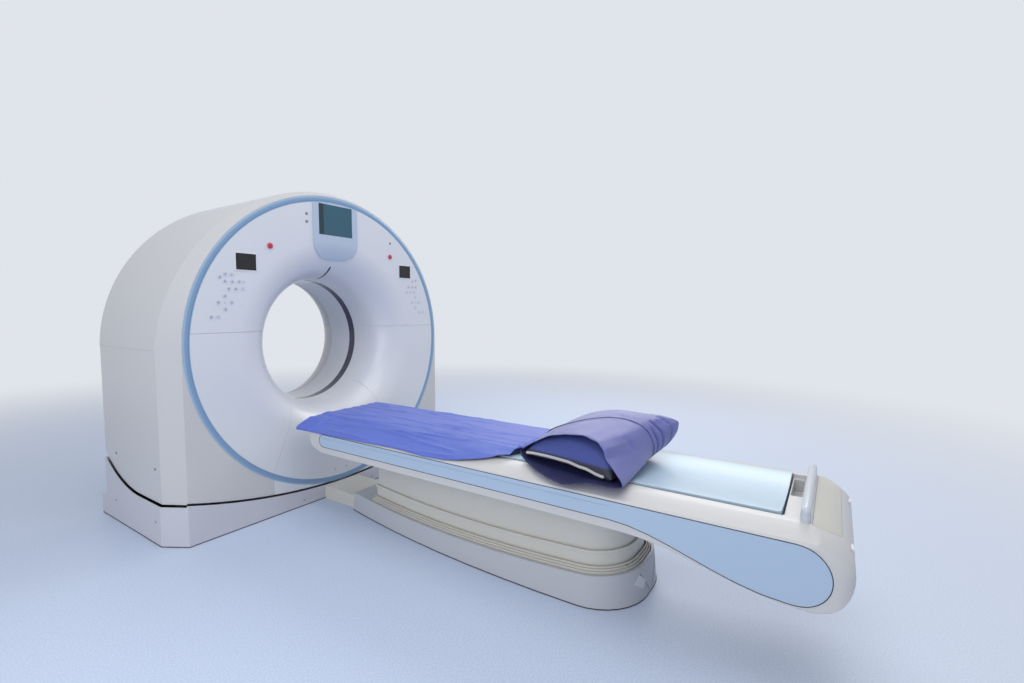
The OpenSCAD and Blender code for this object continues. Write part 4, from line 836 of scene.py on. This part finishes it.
# The satin case: its body over the filling, and its deep hem, which starts under the body's edge
hem_slant = (on_pillow(1, 0.536, 0) - on_pillow(0, 0, 0)).normalized()
case = loaded(even_mesh)
bmesh.ops.subdivide_edges(case, edges=case.edges[:], cuts=1, use_grid_fill=True, smooth=0.6)
case.normal_update()
for vert in case.verts:
    vert.co += vert.normal * (0.0042 - crease_depth(vert.co))
slice_at(case, on_pillow(-0.046, 0, 0), hem_slant, clear_inner=True)
under = loaded(even_mesh)
for vert in under.verts:
    vert.co += vert.normal * 0.0012
cut = slice_at(under, on_pillow(-0.034, 0, 0), hem_slant)
mouth = [(-0.245, 0.233, 0.560), (-0.242, 0.205, 0.583), (-0.240, 0.162, 0.610), (-0.237, 0.086, 0.650),
         (-0.235, 0.000, 0.672), (-0.236, -0.093, 0.683), (-0.240, -0.155, 0.673), (-0.246, -0.185, 0.648),
         (-0.250, -0.200, 0.618), (-0.254, -0.235, 0.588), (-0.258, -0.268, 0.558), (-0.265, -0.280, 0.539),
         (-0.280, -0.255, 0.533), (-0.298, -0.156, 0.531), (-0.335, -0.065, 0.514), (-0.325, 0.020, 0.518),
         (-0.306, 0.096, 0.528), (-0.275, 0.170, 0.534), (-0.252, 0.220, 0.545)]
sleeve_steps, sleeve_sides = 20, 120


def bearing(place):
    """The direction of a point of the sleeve, seen along the pillow from the middle of its mouth."""
    return math.atan2((place.z - 0.602) * 2.6, in_pillow(place).y + 0.005)


def ring_point(ring, turn):
    """The point of a ring, given as bearings and places in order, at a bearing."""
    after = next((k for k, (angle, _) in enumerate(ring) if angle > turn), 0)
    (low, before), (high, beyond) = ring[after - 1], ring[after]
    span = (high - low) % math.tau
    return before.lerp(beyond, ((turn - low) % math.tau) / span if span else 0)


hem_ring = sorted(((bearing(v.co), v.co.copy()) for v in cut if isinstance(v, bmesh.types.BMVert)),
                  key=lambda pair: pair[0])
mouth_ring = sorted(((bearing(on_pillow(*spot)), on_pillow(*spot)) for spot in mouth),
                    key=lambda pair: pair[0])
under.free()
sleeve = []
for step in range(sleeve_steps + 1):
    sleeve.append([])
    for k in range(sleeve_sides):
        turn = -math.pi + math.tau * (k + 0.5) / sleeve_sides
        share = step / sleeve_steps
        spot = ring_point(hem_ring, turn).lerp(ring_point(mouth_ring, turn), share)
        out = Vector((0, math.cos(turn), math.sin(turn)))
        ripple = 0.002 * share * noise.noise(Vector((turn * 3, share * 3, 8.0)))
        spot += out * (0.004 * math.sin(math.pi * share) + ripple - crease_depth(spot))
        spot.z = max(spot.z, read_table(over_tabletop, min(abs(spot.x), 0.349)))
        sleeve[-1].append(case.verts.new(spot))
skin(case, sleeve)
for face in case.faces:
    face.smooth = True
case_satin = cloth("case_satin", (0.125, 0.14, 0.40), (0.85, 0.85, 1.0), 0.30, sheen=0.35)
# The case's inner face is painted near-black navy: painted shade inside the case.
case_inside_shade = cloth("case_inside_shade", (0.012, 0.016, 0.075), (0.3, 0.3, 0.6), 0.5, sheen=0.1)
pillow_case = keep_piece("pillow_case", case, case_satin, "patient_top")
pillow_case.data.materials.append(case_inside_shade)
thick = thicken(pillow_case, cloth_thickness, -1.0)
thick.material_offset = thick.material_offset_rim = 1
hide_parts("pillow")
bpy.data.meshes.remove(even_mesh)

# Seals, gaskets and beads
# Black rubber seals where the plinth and the pedestal meet the floor; their black is also painted shadow, the
# dark contact line along the floor. A black strip lies in the gap along each long edge of the tabletop, and a
# dark bead is let in round each side inset.
rubber_black = moulded("rubber_black", (0.012, 0.012, 0.014), 0.5)
seal_shadow_radius, bead_radius, inset_face = 0.0020, 0.0013, 0.3445


def thin_tube(name, lines, radius, closed=True):
    """A thin round tube along lines of points, as a mesh under construction."""
    curve = bpy.data.curves.new(name, "CURVE")
    curve.dimensions = "3D"
    curve.bevel_depth = radius
    curve.bevel_resolution = 2
    for points in lines:
        spline = curve.splines.new("POLY")
        spline.points.add(len(points) - 1)
        for point, place in zip(spline.points, points):
            point.co = (*place, 1)
        spline.use_cyclic_u = closed
    return loaded(baked(add_object(name, curve)), discard=True)


def longest_loop(edges):
    """The longest closed line of points among edges."""
    beside = {}
    for edge in edges:
        for vert in edge.verts:
            beside.setdefault(vert, []).append(edge.other_vert(vert))
    loops, seen = [], set()
    for first in beside:
        if first in seen:
            continue
        loop, here = [first], first
        seen.add(first)
        while True:
            step = next((vert for vert in beside[here] if vert not in seen), None)
            if step is None:
                break
            seen.add(step)
            loop.append(step)
            here = step
        loops.append([vert.co.copy() for vert in loop])
    return max(loops, key=lambda loop: sum((a - b).length for a, b in zip(loop, loop[1:])))


def merged(node):
    """A copy of a CAD node's mesh with its loose triangles joined."""
    copy = loaded(node.data)
    bmesh.ops.remove_doubles(copy, verts=copy.verts, dist=1e-5)
    return copy


# The floor seals are black strips that also paint the contact shadow where the skirts meet the floor.
for name, part in (("plinth_seal_shadow", "plinth_cover"), ("pedestal_seal_shadow", "pedestal_base")):
    shell = merged(nodes[part])
    cut = slice_at(shell, (0, 0, 0.0045), (0, 0, 1))
    line = longest_loop([edge for edge in cut if isinstance(edge, bmesh.types.BMEdge)])
    shell.free()
    seal_shadow = thin_tube(name, [[(p.x, p.y, 0.0024) for p in line]], seal_shadow_radius)
    keep_piece(name, seal_shadow, rubber_black, "root")
beads = []
for part in ("side_inset_left", "side_inset_right"):
    shell = merged(nodes[part])
    outer = {face for face in shell.faces
             if abs(face.normal.x) > 0.9 and abs(face.calc_center_median().x) > inset_face}
    beads.append(longest_loop([edge for edge in shell.edges
                               if sum(face in outer for face in edge.link_faces) == 1]))
    shell.free()
keep_piece("inset_bead", thin_tube("inset_bead", beads, bead_radius), rubber_black, "couch")
top_low, top_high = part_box("tabletop")
gasket = bmesh.new()
for side in (-1, 1):
    near, far = sorted((side * 0.2233, side * 0.2313))
    add_plate(gasket, (near, top_low[1] + 0.01, 0.5115), (far, top_high[1] - 0.01, 0.5178))
keep_piece("edge_gasket", gasket, rubber_black, "patient_top")

# Screws
# Steel socket screws of the plinth and the flanks and two small fittings under the bore, set by
# Geometry Nodes: each head stands on a point and faces outwards, turned by a fixed random angle.
screw_tree = bpy.data.node_groups.new("screw_heads", "GeometryNodeTree")
screw_sockets = {label: screw_tree.interface.new_socket(label, in_out="INPUT",
                                                        socket_type="NodeSocket" + kind)
                 for label, kind in (("Geometry", "Geometry"), ("Head radius", "Float"),
                                     ("Head height", "Float"), ("Finish", "Material"))}
screw_tree.interface.new_socket("Geometry", in_out="OUTPUT", socket_type="NodeSocketGeometry")
given = add_node(screw_tree, "NodeGroupInput").outputs
head = add_node(screw_tree, "GeometryNodeMeshCylinder", {"Vertices": 24, "Radius": given["Head radius"],
                                                         "Depth": given["Head height"]})
recess_size = add_node(screw_tree, "ShaderNodeMath", {0: given["Head radius"], 1: 0.55},
                       operation="MULTIPLY")
recess = add_node(screw_tree, "GeometryNodeMeshCylinder", {"Vertices": 6, "Radius": recess_size.outputs[0],
                                                           "Depth": given["Head height"]})
raised = add_node(screw_tree, "GeometryNodeTransform", {"Translation": (0, 0, 0.0012),
                                                        "Geometry": recess.outputs["Mesh"]})
hollowed = add_node(screw_tree, "GeometryNodeMeshBoolean", {"Mesh 1": head.outputs["Mesh"],
                                                            "Mesh 2": raised.outputs["Geometry"]},
                    operation="DIFFERENCE")
facing = add_node(screw_tree, "GeometryNodeInputNamedAttribute", {"Name": "facing"},
                  data_type="FLOAT_VECTOR")
aim = add_node(screw_tree, "FunctionNodeAlignRotationToVector", {"Vector": facing.outputs["Attribute"]},
               axis="Z")
spin = add_node(screw_tree, "FunctionNodeRandomValue", data_type="FLOAT")
for socket in spin.inputs:
    if socket.name == "Max" and socket.type == "VALUE":
        socket.default_value = math.tau
    if socket.name == "Seed":
        socket.default_value = 5
spin_turn = add_node(screw_tree, "FunctionNodeAxisAngleToRotation",
                     {"Angle": next(s for s in spin.outputs if s.type == "VALUE" and s.enabled)})
turned = add_node(screw_tree, "FunctionNodeRotateRotation",
                  {"Rotation": aim.outputs["Rotation"], "Rotate By": spin_turn.outputs["Rotation"]},
                  rotation_space="LOCAL")
placed = add_node(screw_tree, "GeometryNodeInstanceOnPoints",
                  {"Points": given["Geometry"], "Instance": hollowed.outputs["Mesh"],
                   "Rotation": turned.outputs["Rotation"]})
real = add_node(screw_tree, "GeometryNodeRealizeInstances", {"Geometry": placed.outputs["Instances"]})
finished = add_node(screw_tree, "GeometryNodeSetMaterial", {"Geometry": real.outputs["Geometry"],
                                                            "Material": given["Finish"]})
add_node(screw_tree, "NodeGroupOutput", {"Geometry": finished.outputs["Geometry"]})
screw_steel = moulded("screw_steel", (0.36, 0.37, 0.38), 0.35, finish={"Metallic": 0.8})
fitting_white = moulded("fitting_white", (0.50, 0.51, 0.54), 0.4)


def set_screws(name, places, radius, height, finish, body):
    """Screw heads at (place, direction they face), made by the Geometry Nodes tree."""
    points = bpy.data.meshes.new(name + "_points")
    points.from_pydata([place for place, _ in places], [], [])
    ways = points.attributes.new("facing", "FLOAT_VECTOR", "POINT")
    for k, (_, way) in enumerate(places):
        ways.data[k].vector = way
    holder = add_object(name + "_points", points)
    maker = holder.modifiers.new("screws", "NODES")
    maker.node_group = screw_tree
    for label, value in (("Head radius", radius), ("Head height", height), ("Finish", finish)):
        maker[screw_sockets[label].identifier] = value
    keep_piece(name, loaded(baked(holder), discard=True), finish, body)


head_height, plinth_half, flank_half = 0.0030, 0.955, 0.9435
set_screws("plinth_screws", [((s * plinth_half, y, z), (s, 0, 0)) for s in (-1, 1)
                             for y, z in ((-0.197, 0.114), (0.300, 0.114))]
           + [((x, -0.370, 0.031), (0, -1, 0)) for x in (-0.268, 0.2365)],
           0.0055, head_height, screw_steel, "root")
set_screws("flank_screws", [((s * flank_half, y, 0.3728), (s, 0, 0)) for s in (-1, 1)
                            for y in (-0.1875, 0.300)],
           0.0075, head_height, screw_steel, "gantry")
set_screws("panel_fittings", [((s * 0.0415, -0.3605, 0.153), (0, -1, 0)) for s in (-1, 1)],
           0.0060, head_height, fitting_white, "gantry")

# Pedestal tail
# The removable tail cover of the pedestal's base, between two slanting joints, with a bare plate beside one
# of them. Three small slots on the rim are black plates, painted shade for their openings. White catches hold
# the couch's tail cap.
on_base = BVHTree.FromObject(nodes["pedestal_base"], bpy.context.evaluated_depsgraph_get())


def onto_base(x, z, lift):
    """The point of the base's rear at a place across and up, a little off its surface."""
    hit, normal, _, _ = on_base.ray_cast(Vector((x, -2.60, z)), Vector((0, 1, 0)))
    return hit + Vector((normal.x, normal.y, 0)).normalized() * lift


joint_steps, plate_rows, plate_columns = 20, 8, 10
joints = [[onto_base(s * (0.092 - 0.078 * k / joint_steps), 0.110 - 0.098 * k / joint_steps * 0.98, 0.0)
           for k in range(joint_steps + 1)] for s in (-1, 1)]
keep_piece("tail_joints", thin_tube("tail_joints", joints, 0.0009, closed=False), rubber_black,
           "root")
plate_grey = moulded("plate_grey", (0.62, 0.64, 0.66), 0.35)
plate = bmesh.new()
plate_corners = [Vector(p) for p in ((-0.100, 0.108), (-0.131, 0.078), (-0.076, 0.044), (-0.048, 0.070))]
plate_grid = []
for row in range(plate_rows + 1):
    left = plate_corners[0].lerp(plate_corners[1], row / plate_rows)
    right = plate_corners[3].lerp(plate_corners[2], row / plate_rows)
    plate_grid.append([plate.verts.new(onto_base(*left.lerp(right, k / plate_columns), 0.0009))
                       for k in range(plate_columns + 1)])
list(grid_faces(plate, plate_grid))
bare_plate = keep_piece("bare_plate", plate, plate_grey, "root")
thicken(bare_plate, 0.0006, 0.0)
# Black plates that paint the shade in the rim's three slots
slot_shades = bmesh.new()
for x, y, z in ((-0.125, -2.287, 0.149), (-0.107, -2.291, 0.148), (-0.091, -2.296, 0.150)):
    add_plate(slot_shades, (x - 0.004, y - 0.003, z - 0.001), (x + 0.004, y + 0.003, z + 0.0006))
keep_piece("rim_slot_shades", slot_shades, rubber_black, "root")
catches = bmesh.new()
for s in (-1, 1):
    near, far = sorted((s * 0.190, s * 0.232))
    add_plate(catches, (near, -3.0105, 0.447), (far, -3.0035, 0.461))
bmesh.ops.bevel(catches, geom=catches.edges[:], offset=0.0022, segments=3, affect="EDGES")
catch_white = moulded("catch_white", (0.70, 0.70, 0.70), 0.35)
keep_piece("tail_catches", catches, catch_white, "couch")
